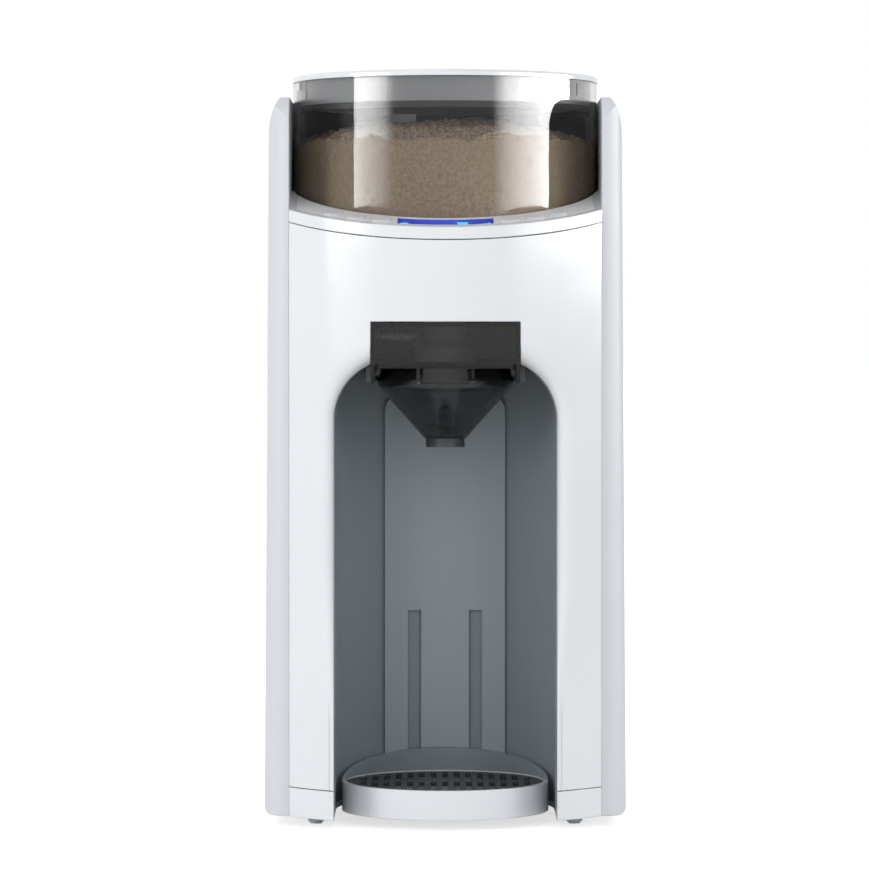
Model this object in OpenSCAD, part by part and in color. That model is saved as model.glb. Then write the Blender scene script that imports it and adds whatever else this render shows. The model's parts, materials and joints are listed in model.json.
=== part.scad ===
// Baby formula maker: doses powder and warm water through a funnel into a bottle.
// The front faces -Y, the table is at z = 0, and all sizes are in millimetres.

/* [Powder tank] */
// Outer radius of the clear powder tank
tank_r = 78.6; // [76:0.2:84]
// Height of the powder tank
tank_h = 86.5; // [80:0.5:100]
// Wall of the powder tank
tank_wall = 3; // [2:0.2:4]
// Height of the powder above the tank's seat
powder_h = 57; // [44:1:62]

/* [Housing] */
// Width of the control deck in front of the powder tank
deck_ring = 21.4; // [20:0.2:26]
// Slope of the control deck, in degrees
deck_slope = 14; // [8:1:18]
// Height of the deck's front edge above the powder tank's seat
deck_rise = 10; // [8:0.5:14]
// Thickness of each side panel moulding
side_panel_t = 13; // [10:0.5:18]
// How far the powder tank's rim stands above the side panels
rim_above_panels = 9.5; // [6:0.5:16]
// Room for the works behind the powder tank
rear_room = 33.4; // [30:0.2:60]
// Wall of the white mouldings
wall = 2.6; // [2:0.2:3]
// Height of the rubber feet
foot_h = 6; // [4:1:10]
// Diameter of a foot
foot_d = 8; // [6:1:12]
// Height of the base skirt
skirt_h = 14.6; // [14:0.2:20]
// Height of the gearbox
gearbox_h = 29.6; // [28:0.2:36]

/* [Bottle bay] */
// Half of the bay's width
bay_half = 56; // [55:0.5:58]
// Height of the bay's ceiling
bay_top = 237; // [225:1:260]
// Corner radius at the bay's ceiling
bay_corner = 30; // [16:1:34]
// Depth of the rolled edge around the bay
lip_depth = 10; // [6:0.5:12]
// Distance of the bottle's centre behind the fascia
bottle_in = 70; // [68:0.5:72]
// Wall of the grey liner
liner_wall = 2; // [1.6:0.2:2.4]

/* [Funnel] */
// Radius of the funnel's rim
funnel_r = 35; // [33:0.5:36]
// Wall of the funnel
funnel_wall = 2; // [1.6:0.2:2.6]
// Height of the funnel's straight rim
funnel_rim_h = 10.8; // [7.4:0.2:12]
// Height of the funnel's cone
funnel_cone_h = 27.4; // [24:0.2:36]
// Radius of the nozzle
nozzle_r = 10.1; // [8.5:0.1:12]
// Length of the nozzle
nozzle_h = 4.5; // [4:0.1:12]
// Radius of the rounded shoulder between the rim and the cone
funnel_shoulder = 6; // [2:0.5:10]
// Height of the funnel's front cover
cover_h = 21; // [18:0.5:28]

/* [Tray] */
// Gap between the drip tray and the bay's wall
tray_gap = 3; // [3:0.5:5]
// Height of the drip tray
tray_h = 15; // [14:0.5:20]
// Height of the collar at the back of the tray
collar_h = 12; // [8:0.5:20]
// How far the tray climbs its track
tray_travel = 60; // [30:5:90]

/* [Water tank] */
// Depth of the water tank
water_d = 112; // [90:1:130]
// Half of the water tank's width
water_half = 86; // [70:1:88]
// Height of the water tank
water_h = 316; // [250:1:330]
// Wall of the water tank
water_wall = 2.6; // [2:0.2:3.4]
// Radius of the water tank's rear corners
water_corner = 28; // [16:1:36]

/* [Gears] */
// Tooth size: pitch diameter over the number of teeth
gear_module = 1.25; // [1.2:0.01:1.27]
// Teeth of the gear below the powder tank
drive_teeth = 44; // [43:1:45]
// Teeth of the idler
idler_teeth = 24; // [22:1:26]
// Teeth of the motor's pinion
pinion_teeth = 16; // [15:1:18]

/* [Hidden] */
$fn = 96;

// Clearances
slide_gap = 0.4; // between a piece and what it slides past
seam_gap = 0.1; // between two fixed mouldings that meet along a curve
fit_gap = 0.05; // radial, between a pin or shaft and its bore
seal_gap = 0.3; // between a soft seal and the wall it closes
over = 1; // how far a cut runs past the face that it opens

// Plan of the housing, front to back
panel_in = tank_r + slide_gap;
body_w = 2 * (panel_in + side_panel_t);
fascia_r = tank_r + deck_ring;
dock_lip = 3;
body_d = fascia_r + tank_r + rear_room + water_d + 2 * dock_lip;
front_y = -body_d / 2;
back_y = body_d / 2;
tank_y = front_y + fascia_r;
bay_y = front_y + bottle_in;
housing_back = tank_y + tank_r + rear_room;
corner_y = tank_y - sqrt(fascia_r * fascia_r - panel_in * panel_in);
return_l = 26;
return_y = corner_y + return_l;

// Heights, from the table up
floor_z = foot_h;
floor_t = 3;
floor_top = floor_z + floor_t;
skirt_top = floor_z + skirt_h;
flange_drop = 2.2;
flange_z = bay_top - flange_drop;
cover_top = flange_z + cover_h;
cutout_top = cover_top + slide_gap;
chamber_lift = 1.8;
chamber_z = cutout_top + chamber_lift;
chamber_wall = 2.4;
gearbox_z = chamber_z + chamber_wall;
slab_z = gearbox_z + gearbox_h;
slab_t = 3;
seat_z = slab_z + slab_t;
tank_top = seat_z + tank_h;
panel_top = tank_top - rim_above_panels;
deck_front_z = seat_z + deck_rise;
plate_drop = 4;
cover_plate_z = panel_top - plate_drop;
well_ring_drop = 3;
well_ring_top = tank_top - well_ring_drop;

// Deck
bezel_h = 6;
bezel_w = 3.6;
panel_t = 2;
well_r = tank_r + 1;
well_wall = 2.4;
deck_rise_rate = tan(deck_slope);
deck_axis_z = deck_front_z + deck_rise_rate * fascia_r;

// Buttons
button_in = 10;
button_ring = fascia_r - button_in;
button_angles = [-39, -30, -21, 21, 30, 39];
button_r = 5;
button_play = 0.2;
button_edge = [0.6, 0.3]; // how far the cap's edge is drawn in, and how deep
button_proud = 0.8;
button_flange = 1;
button_flange_t = 1.2;
button_travel = 1;
board_drop = 10.4;
board_t = 1.6;
board_reach = 40;
switch_h = 2.8;
switch_half = 3;
stem_r = 2;

// Display
lcd_half = 24;
lcd_in = [5, 17.4];
lcd_play = 0.1;
lcd_sunk = 0.2;
lcd_rim = 1;

// Chute and dosing: the outlet lies just in front of the gearbox, and the wheel reaches past it.
drive_pitch = drive_teeth * gear_module / 2;
gearbox_room = 4.5;
gearbox_half = drive_pitch + gearbox_room;
chute_bore = 8.5;
chute_r = 11;
chute_gap = 3;
dose_r = gearbox_half + chute_gap + chute_r;
outlet_y = tank_y - dose_r;
outlet_r = 7.5;
wheel_past = 16;
wheel_r = dose_r + wheel_past;
hood_r = 15;
hood_h = 7;
hood_shoulder = 4;
hood_gap = 1.2;
tank_floor = 3.5;
tank_floor_top = seat_z + tank_floor;
wheel_gap = 0.3;
wheel_z = tank_floor_top + wheel_gap;
wheel_t = 10;
wheel_top = wheel_z + wheel_t;
pockets = 8;
pocket_w = 15;
pocket_l = 25;
pocket_in = wheel_r - pocket_l;
wheel_play = 0.6;
wiper_t = 2.8;
wiper_in = 10;
wiper_half = 20;
wheel_guard = 3;
hub_r = 10;
boss_lift = 12;
boss_top = wheel_top + boss_lift;
wheel_boss_r = 7;
arm_lift = 4.7;
arm_z = wheel_top + arm_lift;
arm_t = 4;
arm_in = 7.6;
arm_half = 3;
stirrer_wall = 2;
arm_r = tank_r - tank_wall - arm_in;
blade_in = 15;
blade_w = 12;
blade_t = 3;
blade_drop = 15.5;
blade_top = tank_top - blade_drop;
short_blade_h = 26;
wiper_z = [wheel_top + wheel_play, wheel_top + wheel_play + wiper_t];
powder_gap = 1;
powder_top = seat_z + powder_h;
powder_r = tank_r - tank_wall - seal_gap;

// Lid
lid_past = 0.3;
lid_r = tank_r + lid_past;
lid_t = 3;
lid_edge = 1.2;
skirt_gap = 0.4;
lid_skirt_r = tank_r - tank_wall - skirt_gap;
lid_skirt_t = 2;
lid_skirt_h = 12.5;
seal_h = 3.3;
lug_w = 9;
lug_h = 4;
lug_out = 1.4;
lug_play = 0.6;
lug_drop = 5;
lug_angles = [-40, 80, 200];

// Gear train
idler_pitch = idler_teeth * gear_module / 2;
pinion_pitch = pinion_teeth * gear_module / 2;
idler_y = tank_y + drive_pitch + idler_pitch;
motor_y = idler_y + idler_pitch + pinion_pitch;
gear_lift = 9.6;
gear_z = gearbox_z + gear_lift;
gear_t = 8;
gear_float = 1; // room below each gear
idler_pin_past = 4;
pinion_past = 3;
backlash = 0.24;
shaft_r = 4;
idler_pin_r = 3;
motor_shaft_r = 2.5;
gearbox_wall = 2;
gearbox_tail = 5;
gearbox_corner = 6;
collar_wall = 3;
motor_r = 18.5;
motor_h = 55;
motor_z = gearbox_z - motor_h;
motor_cap_h = 3;
motor_cap_in = 4;
tab_x = [6, 9];
tab_h = 6;
tab_half = 1;
shaft_reach = 10;
shaft_end = 1;
shaft_past = 0.6;
dog_w = 9.4;
dog_t = 3.4;
dog_h = 7.7;
bush_r = 7;
bush_h = 6;

// Funnel and its dock
nozzle_step = 0.8;
nozzle_neck = nozzle_r + nozzle_step;
mouth_r = funnel_r - funnel_wall;
cover_leg = 1.9;
cover_gap = 0.2;
cover_half = funnel_r + cover_gap + cover_leg;
cover_t = 2.4;
cover_depth = 8;
leg_drop = 9.5;
leg_past = 5;
rail_half = funnel_r + slide_gap;
chamber_half = cover_half + slide_gap;
pin_r = 1.5;
pin_in = 12;
pin_drop = 3;
pin_y = front_y + pin_in;
pin_z = flange_z - pin_drop;
ear_r = 3.2;
ear_t = 2.3;
ear_play = 0.3;
tongue_in = 3;
rail_drop = [8.8, 0.8];
rail_z = [flange_z - rail_drop[0], flange_z - rail_drop[1]];
groove_drop = [6.1, 3.5];
groove_z = [flange_z - groove_drop[0], flange_z - groove_drop[1]];
rail_in = 8;
rail_front = pin_y + rail_in;
chamber_room = 3;
chamber_back = bay_y + funnel_r + chamber_room;

// Bay, track and tray
track_half = 31.4;
track_t = 2.6;
track_drop = 19;
track_top = bay_top - track_drop;
track_corner = 8;
tongue_x = 16;
tongue_w = 6;
groove_over = 24;
tongue_share = 0.7; // of the collar's height
tongue_h = tongue_share * collar_h;
tray_r = bay_half - tray_gap;
tray_z = floor_z;
tray_top = tray_z + tray_h;
tray_wall = 2.4;
ledge_w = 2.4;
grille_t = 2.4;
grille_drop = 0.6;
grille_rim = 4;
grille_bar = 2; // half of the middle bar
slot_w = 3;
slot_pitch = 6;

// Water side
dock_h = 28;
dock_top = floor_z + dock_h;
water_y = [housing_back + dock_lip, back_y - dock_lip];
water_mid = (water_y[0] + water_y[1]) / 2;
water_floor = 3;
water_top = dock_top + water_h;
water_front_corner = 8;
dock_half = water_half + 2;
dock_corner = 2;
valve_r = 9;
valve_reach = 10;
socket_wall = 4;
socket_depth = 12;
socket_lift = 2;
valve_lip = 5;
valve_lip_t = 2;
valve_step = 2;
valve_stem_h = 10;
valve_wall = 4;
seal_t = 1.6;
seal_rim = 1;
hose_r = 5;
hose_bore = 3;
port_r = 4.6;
hose_lift = 9;
hose_z = floor_top + hose_lift;
lid_gap = 0.4;
lid_plate_t = 3;
hinge_in = 6;
hinge_lift = 4;
hinge_y = water_y[1] - hinge_in;
hinge_z = water_top + hinge_lift;
hinge_r = 1.6;
knuckle_r = 3.4;
ear_x = [26, 30];
ear_drop = 10;
knuckle_gap = 0.4;
knuckle_play = 0.6;
plate_past = 1.2;
web_half = 2;
tab_y = [2, 12];
thumb_half = 16;
thumb_h = 4;
rim_gap = 1.2;
rim_t = 2;
rim_drop = 4;
rim_back = 12;
float_x = -50;
float_in = 24;
float_y = water_y[0] + float_in;
float_r = 11;
float_h = 14;
float_travel = 30;
post_r = 3;
post_foot = 4;
post_past = 5;
float_lift = 3;
pump_in = 33;
pump_x = panel_in - pump_in;
heater_x = -pump_x;
outlet_off = 12;
outlet_x = heater_x - outlet_off;
works_y = (bay_y + bay_half + liner_wall + housing_back) / 2;
pump_r = 20;
pump_base_h = 24;
pump_head_r = 17;
pump_h = 82;
pump_top = floor_top + pump_h;
heater_r = 22;
heater_h = 130;
heater_top = floor_top + heater_h;
works_flange = 2;
works_flange_t = 3;
port_l = 8;
link_drop = 12;
spout_back = 20;
spout_drop = 8;
spout_y = bay_y + spout_back;
spout_z = chamber_z - spout_drop;
spout_x = -14;
spout_stub = 6;
spout_gap = 3;

// ---- Shapes used by several pieces ----

// A box between two limits on each axis.
module block(x, y, z) {
  translate([x[0], y[0], z[0]])
    cube([x[1] - x[0], y[1] - y[0], z[1] - z[0]]);
}

// A box that is centred on x = 0.
module centred(half, y, z) {
  block([-half, half], y, z);
}

// An upright disc between two heights.
module disc(r, z) {
  translate([0, 0, z[0]])
    cylinder(r = r, h = z[1] - z[0]);
}

// An upright ring between two heights.
module ring(r_out, r_in, z) {
  difference() {
    disc(r_out, z);
    disc(r_in, [z[0] - over, z[1] + over]);
  }
}

module at(x, y) {
  translate([x, y, 0])
    children();
}

module both_sides() {
  children();
  mirror([1, 0, 0])
    children();
}

// A rod along X.
module cross_rod(r, x, y, z) {
  translate([x[0], y, z])
    rotate([0, 90, 0])
      cylinder(r = r, h = x[1] - x[0]);
}

// A rod along Y.
module deep_rod(r, x, y, z) {
  translate([x, y[0], z])
    rotate([-90, 0, 0])
      cylinder(r = r, h = y[1] - y[0]);
}

// A slab with rounded upright edges.
module rounded_block(x, y, z, r) {
  translate([0, 0, z[0]])
    linear_extrude(height = z[1] - z[0])
      rounded_plan(x, y, r);
}

module rounded_plan(x, y, r) {
  translate([x[0] + r, y[0]])
    square([x[1] - x[0] - 2 * r, y[1] - y[0]]);
  translate([x[0], y[0] + r])
    square([x[1] - x[0], y[1] - y[0] - 2 * r]);
  for (cx = [x[0] + r, x[1] - r])
    for (cy = [y[0] + r, y[1] - r])
      translate([cx, cy])
        circle(r = r);
}

// The plan of the base and the water tank at the rear: small front corners and large rear ones.
module rear_plan(half, y, front_r, rear_r) {
  mid = y[1] - 2 * rear_r;
  rounded_plan([-half, half], [y[0], y[1] - rear_r], front_r);
  translate([-half, mid])
    square([2 * half, rear_r]);
  translate([-half + rear_r, mid])
    square([2 * (half - rear_r), 2 * rear_r]);
  for (side = [-1, 1])
    translate([side * (half - rear_r), y[1] - rear_r])
      circle(r = rear_r);
}

module rear_block(half, y, z, front_r, rear_r) {
  translate([0, 0, z[0]])
    linear_extrude(height = z[1] - z[0])
      rear_plan(half, y, front_r, rear_r);
}

// The housing's front outline, drawn in by inset: an arc between two straight sides.
module front_form(inset, y_end, z) {
  intersection() {
    at(0, tank_y)
      disc(fascia_r - inset, z);
    centred(panel_in - inset, [front_y - over, y_end], [z[0] - over, z[1] + over]);
  }
}

// Everything below the deck plane, lowered by drop along the upright.
module below_deck(drop) {
  translate([0, tank_y, deck_axis_z - drop])
    rotate([deck_slope, 0, 0])
      translate([-body_w, -body_d, -body_d])
        cube([2 * body_w, 2 * body_d, body_d]);
}

// Puts its children on the deck plane, with z = 0 on the deck's surface above the tank's axis.
module on_deck() {
  translate([0, tank_y, deck_axis_z])
    rotate([deck_slope, 0, 0])
      children();
}

// Puts its children on the deck at an angle on a ring around the tank's axis.
module at_button(angle) {
  on_deck()
    translate([button_ring * sin(angle), -button_ring * cos(angle) / cos(deck_slope), 0])
      children();
}

// The bay's front view: straight sides and two rounded upper corners.
module arch_view(half, top, corner) {
  translate([-half, 0])
    square([2 * half, top - corner]);
  translate([-half + corner, 0])
    square([2 * (half - corner), top]);
  for (side = [-1, 1])
    translate([side * (half - corner), top - corner])
      circle(r = corner);
}

module arch(half, top, corner, y) {
  translate([0, y[1], 0])
    rotate([90, 0, 0])
      linear_extrude(height = y[1] - y[0])
        arch_view(half, top, corner);
}

// The bay's plan: straight sides and a half-round back.
module bay_plan(half, z) {
  at(0, bay_y)
    disc(half, z);
  centred(half, [front_y - over, bay_y], z);
}

// The space inside the bay, grown by grow on every side that has a wall.
module bay_space(grow, z_from) {
  intersection() {
    bay_plan(bay_half + grow, [z_from, bay_top + grow]);
    arch(bay_half + grow, bay_top + grow, bay_corner + grow, [front_y - over, bay_y + bay_half + 2 * grow + over]);
  }
}

// ---- Housing ----

// A side panel: its outer face leans in by lean over its height, and its top edge rolls inward.
panel_lean = 0.4;
panel_roll = 33;
panel_roll_h = 19;
panel_foot_r = 4;
panel_corner = 16;
profile_gap = 0.4; // keeps the rounded side profile off the panel's own flat faces

module side_form(inset) {
  outer = body_w / 2 - inset;
  top = panel_top - inset;
  front = corner_y + inset;
  back = housing_back - inset;
  intersection() {
    leaning()
      intersection() {
        translate([0, 0, floor_z - over])
          linear_extrude(height = panel_top)
            side_plan(outer, front, side_panel_t - inset, back);
        translate([0, back + over, 0])
          rotate([90, 0, 0])
            linear_extrude(height = back - front + 2 * over)
              side_view(outer, floor_z + inset, top, panel_foot_r - inset);
        rotate([90, 0, 90])
          linear_extrude(height = body_w)
            side_profile([front - profile_gap, back + profile_gap], top + profile_gap, panel_corner - inset);
      }
    block([panel_in, body_w], [front - over, back + over], [0, tank_top]);
  }
}

// Leans its children in about the panel's lower outer edge.
module leaning() {
  translate([body_w / 2, 0, floor_z])
    rotate([0, -panel_lean, 0])
      translate([-body_w / 2, 0, -floor_z])
        children();
}

module side_plan(outer, front, round_r, back) {
  translate([outer - 2 * round_r, front + round_r])
    square([2 * round_r, back - front - round_r]);
  translate([outer - 2 * round_r, front])
    square([round_r, back - front]);
  translate([outer - round_r, front + round_r])
    circle(r = round_r);
}

// The panel seen from the front: a small corner at its foot and a wide roll at its top.
module side_view(outer, bottom, top, foot_r) {
  inner = panel_in - 2 * over;
  centre_x = outer - panel_roll;
  centre_z = top - panel_roll_h;
  translate([inner, bottom + foot_r])
    square([outer - inner, centre_z - bottom - foot_r]);
  translate([inner, bottom])
    square([outer - foot_r - inner, centre_z - bottom]);
  translate([outer - foot_r, bottom + foot_r])
    circle(r = foot_r);
  intersection() {
    translate([centre_x, centre_z])
      circle(r = panel_roll);
    translate([inner, centre_z - over])
      square([outer - inner, top - centre_z + over]);
  }
}

// The panel seen from the side: its two upper corners are rounded.
module side_profile(y, top, r) {
  translate([y[0], 0])
    square([y[1] - y[0], top - r]);
  translate([y[0] + r, 0])
    square([y[1] - y[0] - 2 * r, top]);
  for (cy = [y[0] + r, y[1] - r])
    translate([cy, top - r])
      circle(r = r);
}

module side_panel() {
  difference() {
    side_form(0);
    intersection() {
      side_form(wall);
      block([panel_in + wall, body_w / 2], [front_y, back_y], [floor_z, panel_top]);
    }
    block([panel_in + wall, body_w / 2 - 2 * wall],
      [corner_y + side_panel_t, housing_back - 2 * wall], [floor_z - over, floor_z + 2 * wall]);
  }
}

module left_side_panel() {
  color("white")
    mirror([1, 0, 0])
      side_panel();
}

module right_side_panel() {
  color("white")
    side_panel();
}

// The base's plan under the housing and the water tank, drawn in by inset.
module base_form(inset, z) {
  front_form(inset, tank_y, z);
  centred(panel_in - inset, [tank_y - over, housing_back + inset + over], z);
  rear_block(dock_half - inset, [housing_back + inset, back_y - inset], z, dock_corner, water_corner - inset);
}

// The skirt: the wall round the base, open at the front where the bay's edge comes down.
module base_chassis() {
  color("white")
    difference() {
      base_form(0, [floor_z, skirt_top]);
      difference() {
        base_form(wall, [floor_z - over, skirt_top + over]);
        bay_cheeks([floor_z - 2 * over, skirt_top + 2 * over]);
      }
      bay_plan(bay_half, [floor_z - over, skirt_top + over]);
      cord_hole();
    }
}

// The skirt's edge beside the bay, as deep as the rolled edge above it.
module bay_cheeks(z) {
  difference() {
    centred(bay_half + wall, [front_y, tank_y], z);
    at(0, tank_y)
      disc(fascia_r - lip_depth, [z[0] - over, z[1] + over]);
  }
}

// The plate that closes the base from below, with a notch for the tray.
module base_plate() {
  color("white")
    difference() {
      base_form(wall + seam_gap, [floor_z, floor_top]);
      difference() {
        centred(bay_half + wall + seam_gap, [front_y, tank_y], [floor_z - over, floor_top + over]);
        at(0, tank_y)
          disc(fascia_r - lip_depth - seam_gap, [floor_z - 2 * over, floor_top + 2 * over]);
      }
      bay_plan(bay_half, [floor_z - over, floor_top + over]);
      screw_places()
        screw_hole();
    }
}

foot_side = 13;
foot_front = 60;
foot_back = 26;
foot_x = panel_in - foot_side;
foot_front_y = front_y + foot_front;
foot_back_y = back_y - foot_back;
foot_tip = 1; // the tip's height, and how far it is drawn in

module base_feet() {
  color("dimgray")
    both_sides()
      for (y = [foot_front_y, foot_back_y])
        at(foot_x, y)
          foot();
}

module foot() {
  disc(foot_d / 2 - foot_tip, [0, foot_h]);
  disc(foot_d / 2, [foot_tip, foot_h]);
}

// The white front: a curved wall with the bay's rolled opening and a cut for the funnel cover.
module front_fascia() {
  color("white")
    difference() {
      union() {
        difference() {
          front_form(0, return_y, [skirt_top, deck_axis_z]);
          front_form(wall, return_y + over, [skirt_top - over, deck_axis_z + over]);
        }
        bay_lip();
        fascia_bosses();
      }
      translate([0, 0, -over])
        arch(bay_half, bay_top + over, bay_corner, [front_y - over, tank_y]);
      centred(chamber_half, [front_y - over, tank_y], [bay_top - bay_corner, cutout_top]);
      above_bezel_seam();
      screw_places()
        screw_thread();
    }
}

module bay_lip() {
  intersection() {
    difference() {
      at(0, tank_y)
        disc(fascia_r - wall / 2, [skirt_top, bay_top + wall]);
      at(0, tank_y)
        disc(fascia_r - lip_depth, [skirt_top - over, bay_top + wall + over]);
    }
    arch(bay_half + wall, bay_top + wall, bay_corner + wall, [front_y, tank_y]);
  }
}

module above_bezel_seam() {
  difference() {
    block([-body_w, body_w], [front_y - body_d, back_y], [seat_z - body_w / 2, deck_axis_z + body_d]);
    below_deck(bezel_h);
  }
}

module fascia_bosses() {
  both_sides()
    at(screw_x, screw_front_y)
      disc(boss_r, [floor_top, skirt_top + boss_h]);
  both_sides()
    block([screw_x, panel_in - wall / 2], [screw_front_y - rib_half, screw_front_y + rib_half],
      [skirt_top, skirt_top + boss_h]);
}

// Screws come up through the base plate into the fascia and the dock.
screw_side = 11;
screw_front = 16;
screw_mid = 18;
screw_back = 48;
screw_x = panel_in - screw_side;
screw_front_y = corner_y + screw_front;
screw_mid_y = housing_back + screw_mid;
screw_back_y = back_y - screw_back;
screw_head_r = 3;
screw_head_h = 1.6;
screw_head_in = 0.2;
screw_r = 1.5;
screw_l = 12;
screw_play = 0.3;
slot_l = 3.6;
slot_width = 0.9;
boss_r = 4;
boss_h = 10;
rib_half = 1;

module screw_places() {
  both_sides()
    for (y = [screw_front_y, screw_mid_y, screw_back_y])
      at(screw_x, y)
        children();
}

module screw_hole() {
  disc(screw_head_r + screw_play, [floor_z - over, floor_z + screw_head_h]);
  disc(screw_r + screw_play, [floor_z - over, floor_top + over]);
}

module screw_thread() {
  disc(screw_r, [floor_z, floor_z + screw_l]);
}

module case_screws() {
  color("silver")
    screw_places()
      difference() {
        union() {
          disc(screw_head_r, [floor_z + screw_head_in, floor_z + screw_head_h]);
          disc(screw_r, [floor_z + screw_head_in, floor_z + screw_l]);
        }
        cross_slot(slot_l, slot_width, [floor_z, floor_z + screw_head_h / 2]);
      }
}

module cross_slot(length, width, z) {
  centred(length / 2, [-width / 2, width / 2], z);
  centred(width / 2, [-length / 2, length / 2], z);
}

// The rear wall between the side panels.
module rear_panel() {
  color("white")
    difference() {
      centred(panel_in, [housing_back - wall, housing_back], [dock_top, cover_plate_z - wall]);
      vent_slots();
    }
}

vent_count = 7;
vent_pitch = 8;
vent_half = 26;
vent_drop = 70;
vent_w = 3;

module vent_slots() {
  for (i = [0 : vent_count - 1])
    centred(vent_half, [housing_back - wall - over, housing_back + over],
      [slab_z - vent_drop + i * vent_pitch, slab_z - vent_drop + vent_w + i * vent_pitch]);
}

// The cover behind the powder tank.
horn_back = 25;
cover_horn_y = tank_y + horn_back;

module rear_top_cover() {
  color("white")
    difference() {
      centred(panel_in, [cover_horn_y, housing_back], [cover_plate_z - wall, cover_plate_z]);
      at(0, tank_y)
        disc(well_r + wall + seam_gap, [seat_z, tank_top]);
    }
}

// The dark wall round the back of the powder tank, which stands on the deck and passes the cover.
module well_ring() {
  color("dimgray")
    intersection() {
      at(0, tank_y)
        ring(well_r + wall, well_r, [seat_z, well_ring_top]);
      centred(panel_in - slide_gap, [cover_horn_y, housing_back], [seat_z, tank_top]);
    }
}

// The grey liner of the bay, open in its ceiling for the funnel.
module bay_liner() {
  color("slategray")
    intersection() {
      difference() {
        bay_space(liner_wall, floor_top);
        bay_space(0, floor_top - over);
        centred(chamber_half + chamber_wall,
          [front_y - over, chamber_back + chamber_wall], [rail_z[0] - over, bay_top + 2 * liner_wall]);
      }
      union() {
        at(0, tank_y)
          disc(fascia_r - lip_depth, [floor_z, bay_top + 2 * liner_wall]);
        centred(bay_half + 2 * liner_wall, [tank_y, housing_back], [floor_z, bay_top + 2 * liner_wall]);
      }
    }
}

// The paler back panel with the two grooves that the tray climbs.
module bay_back_panel() {
  color("gray")
    difference() {
      intersection() {
        at(0, bay_y)
          ring(bay_half, bay_half - track_t, [floor_top, track_top]);
        arch(track_half, track_top, track_corner, [bay_y, housing_back]);
      }
      both_sides()
        block([tongue_x - tongue_w / 2 - slide_gap, tongue_x + tongue_w / 2 + slide_gap],
          [bay_y, housing_back], [floor_z, tray_top + tray_travel + groove_over]);
    }
}

// The seat of the powder tank, and the wall of its well below the deck.
module tank_deck() {
  color("white")
    difference() {
      union() {
        front_form(wall, tank_y + over, [slab_z, seat_z]);
        centred(panel_in, [tank_y, housing_back - wall], [slab_z, seat_z]);
        intersection() {
          at(0, tank_y)
            ring(well_r + well_wall, well_r, [slab_z, deck_axis_z]);
          centred(panel_in - bezel_w, [front_y, tank_y], [slab_z, deck_axis_z]);
          below_deck(panel_t / cos(deck_slope));
        }
      }
      at(0, tank_y)
        disc(bush_r, [slab_z - over, seat_z + over]);
      at(0, outlet_y)
        disc(chute_bore, [slab_z - over, seat_z + over]);
    }
}

// The white rim of the deck.
module deck_bezel() {
  color("white")
    intersection() {
      difference() {
        front_form(0, tank_y, [slab_z, deck_axis_z]);
        front_form(bezel_w, tank_y + over, [slab_z - over, deck_axis_z + over]);
        at(0, tank_y)
          disc(well_r + slide_gap, [slab_z - over, deck_axis_z + over]);
      }
      below_deck(0);
      above_bezel_seam();
    }
}

// The silver panel with its window and button holes.
module control_panel() {
  color("silver")
    difference() {
      intersection() {
        front_form(bezel_w, tank_y, [slab_z, deck_axis_z]);
        below_deck(0);
      }
      below_deck(panel_t / cos(deck_slope));
      at(0, tank_y)
        disc(well_r + slide_gap, [slab_z - over, deck_axis_z + over]);
      lcd_cut(0, [-panel_t - over, over]);
      for (angle = button_angles)
        at_button(angle)
          disc(button_r + button_play, [-panel_t - over, over]);
    }
}

// A curved window's outline, drawn in by inset, between two depths below the deck.
module lcd_cut(inset, z) {
  intersection() {
    on_deck()
      centred(lcd_half - inset, [-fascia_r - over, 0], z);
    at(0, tank_y)
      ring(fascia_r - lcd_in[0] - inset, fascia_r - lcd_in[1] + inset, [slab_z, deck_axis_z + over]);
  }
}

module lcd_window() {
  color("royalblue")
    lcd_cut(lcd_play, [-panel_t, -lcd_sunk]);
}

module lcd_module() {
  color("dimgray")
    lcd_cut(lcd_rim, [-board_drop, -panel_t]);
}

module control_board() {
  color("seagreen") {
    intersection() {
      difference() {
        front_form(wall + slide_gap, tank_y - board_reach, [seat_z + slide_gap, deck_axis_z]);
        at(0, tank_y)
          disc(well_r + well_wall + slide_gap, [slab_z - over, deck_axis_z + over]);
      }
      on_deck()
        centred(body_w, [-body_d, body_d], [-board_drop - board_t, -board_drop]);
    }
    for (angle = button_angles)
      at_button(angle)
        centred(switch_half, [-switch_half, switch_half], [-board_drop, -board_drop + switch_h]);
  }
}

// A button: a domed cap through the panel, a flange below it and a stem to its switch.
module button(number) {
  color("whitesmoke")
    at_button(button_angles[number - 1]) {
      disc(button_r, [-panel_t - button_flange_t, button_proud - button_edge[1]]);
      disc(button_r - button_edge[0], [button_proud - button_edge[1], button_proud]);
      disc(button_r + button_flange, [-panel_t - button_flange_t - button_play, -panel_t - button_play]);
      disc(stem_r, [-board_drop + switch_h + button_travel + button_play, -panel_t]);
    }
}

module button_1() { button(1); }
module button_2() { button(2); }
module button_3() { button(3); }
module button_4() { button(4); }
module button_5() { button(5); }
module button_6() { button(6); }

// ---- Funnel dock, chute and spout ----

module funnel_dock() {
  outer = chamber_half + chamber_wall;
  color("gray")
    difference() {
      union() {
        intersection() {
          centred(outer, [front_y, chamber_back + chamber_wall], [bay_top + wall + slide_gap, gearbox_z]);
          chamber_front();
        }
        centred(outer, [rail_front, chamber_back + chamber_wall], [rail_z[0], bay_top + 2 * wall]);
      }
      centred(chamber_half, [front_y - over, chamber_back], [rail_z[1], chamber_z]);
      centred(rail_half, [front_y - over, chamber_back], [rail_z[0] - over, rail_z[1] + over]);
      centred(chamber_half, [front_y - over, chamber_back], groove_z);
      at(0, outlet_y)
        disc(chute_r, [chamber_z - over, gearbox_z + over]);
      cross_rod(port_r, [-outer - over, 0], spout_y, spout_z);
    }
}

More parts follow.
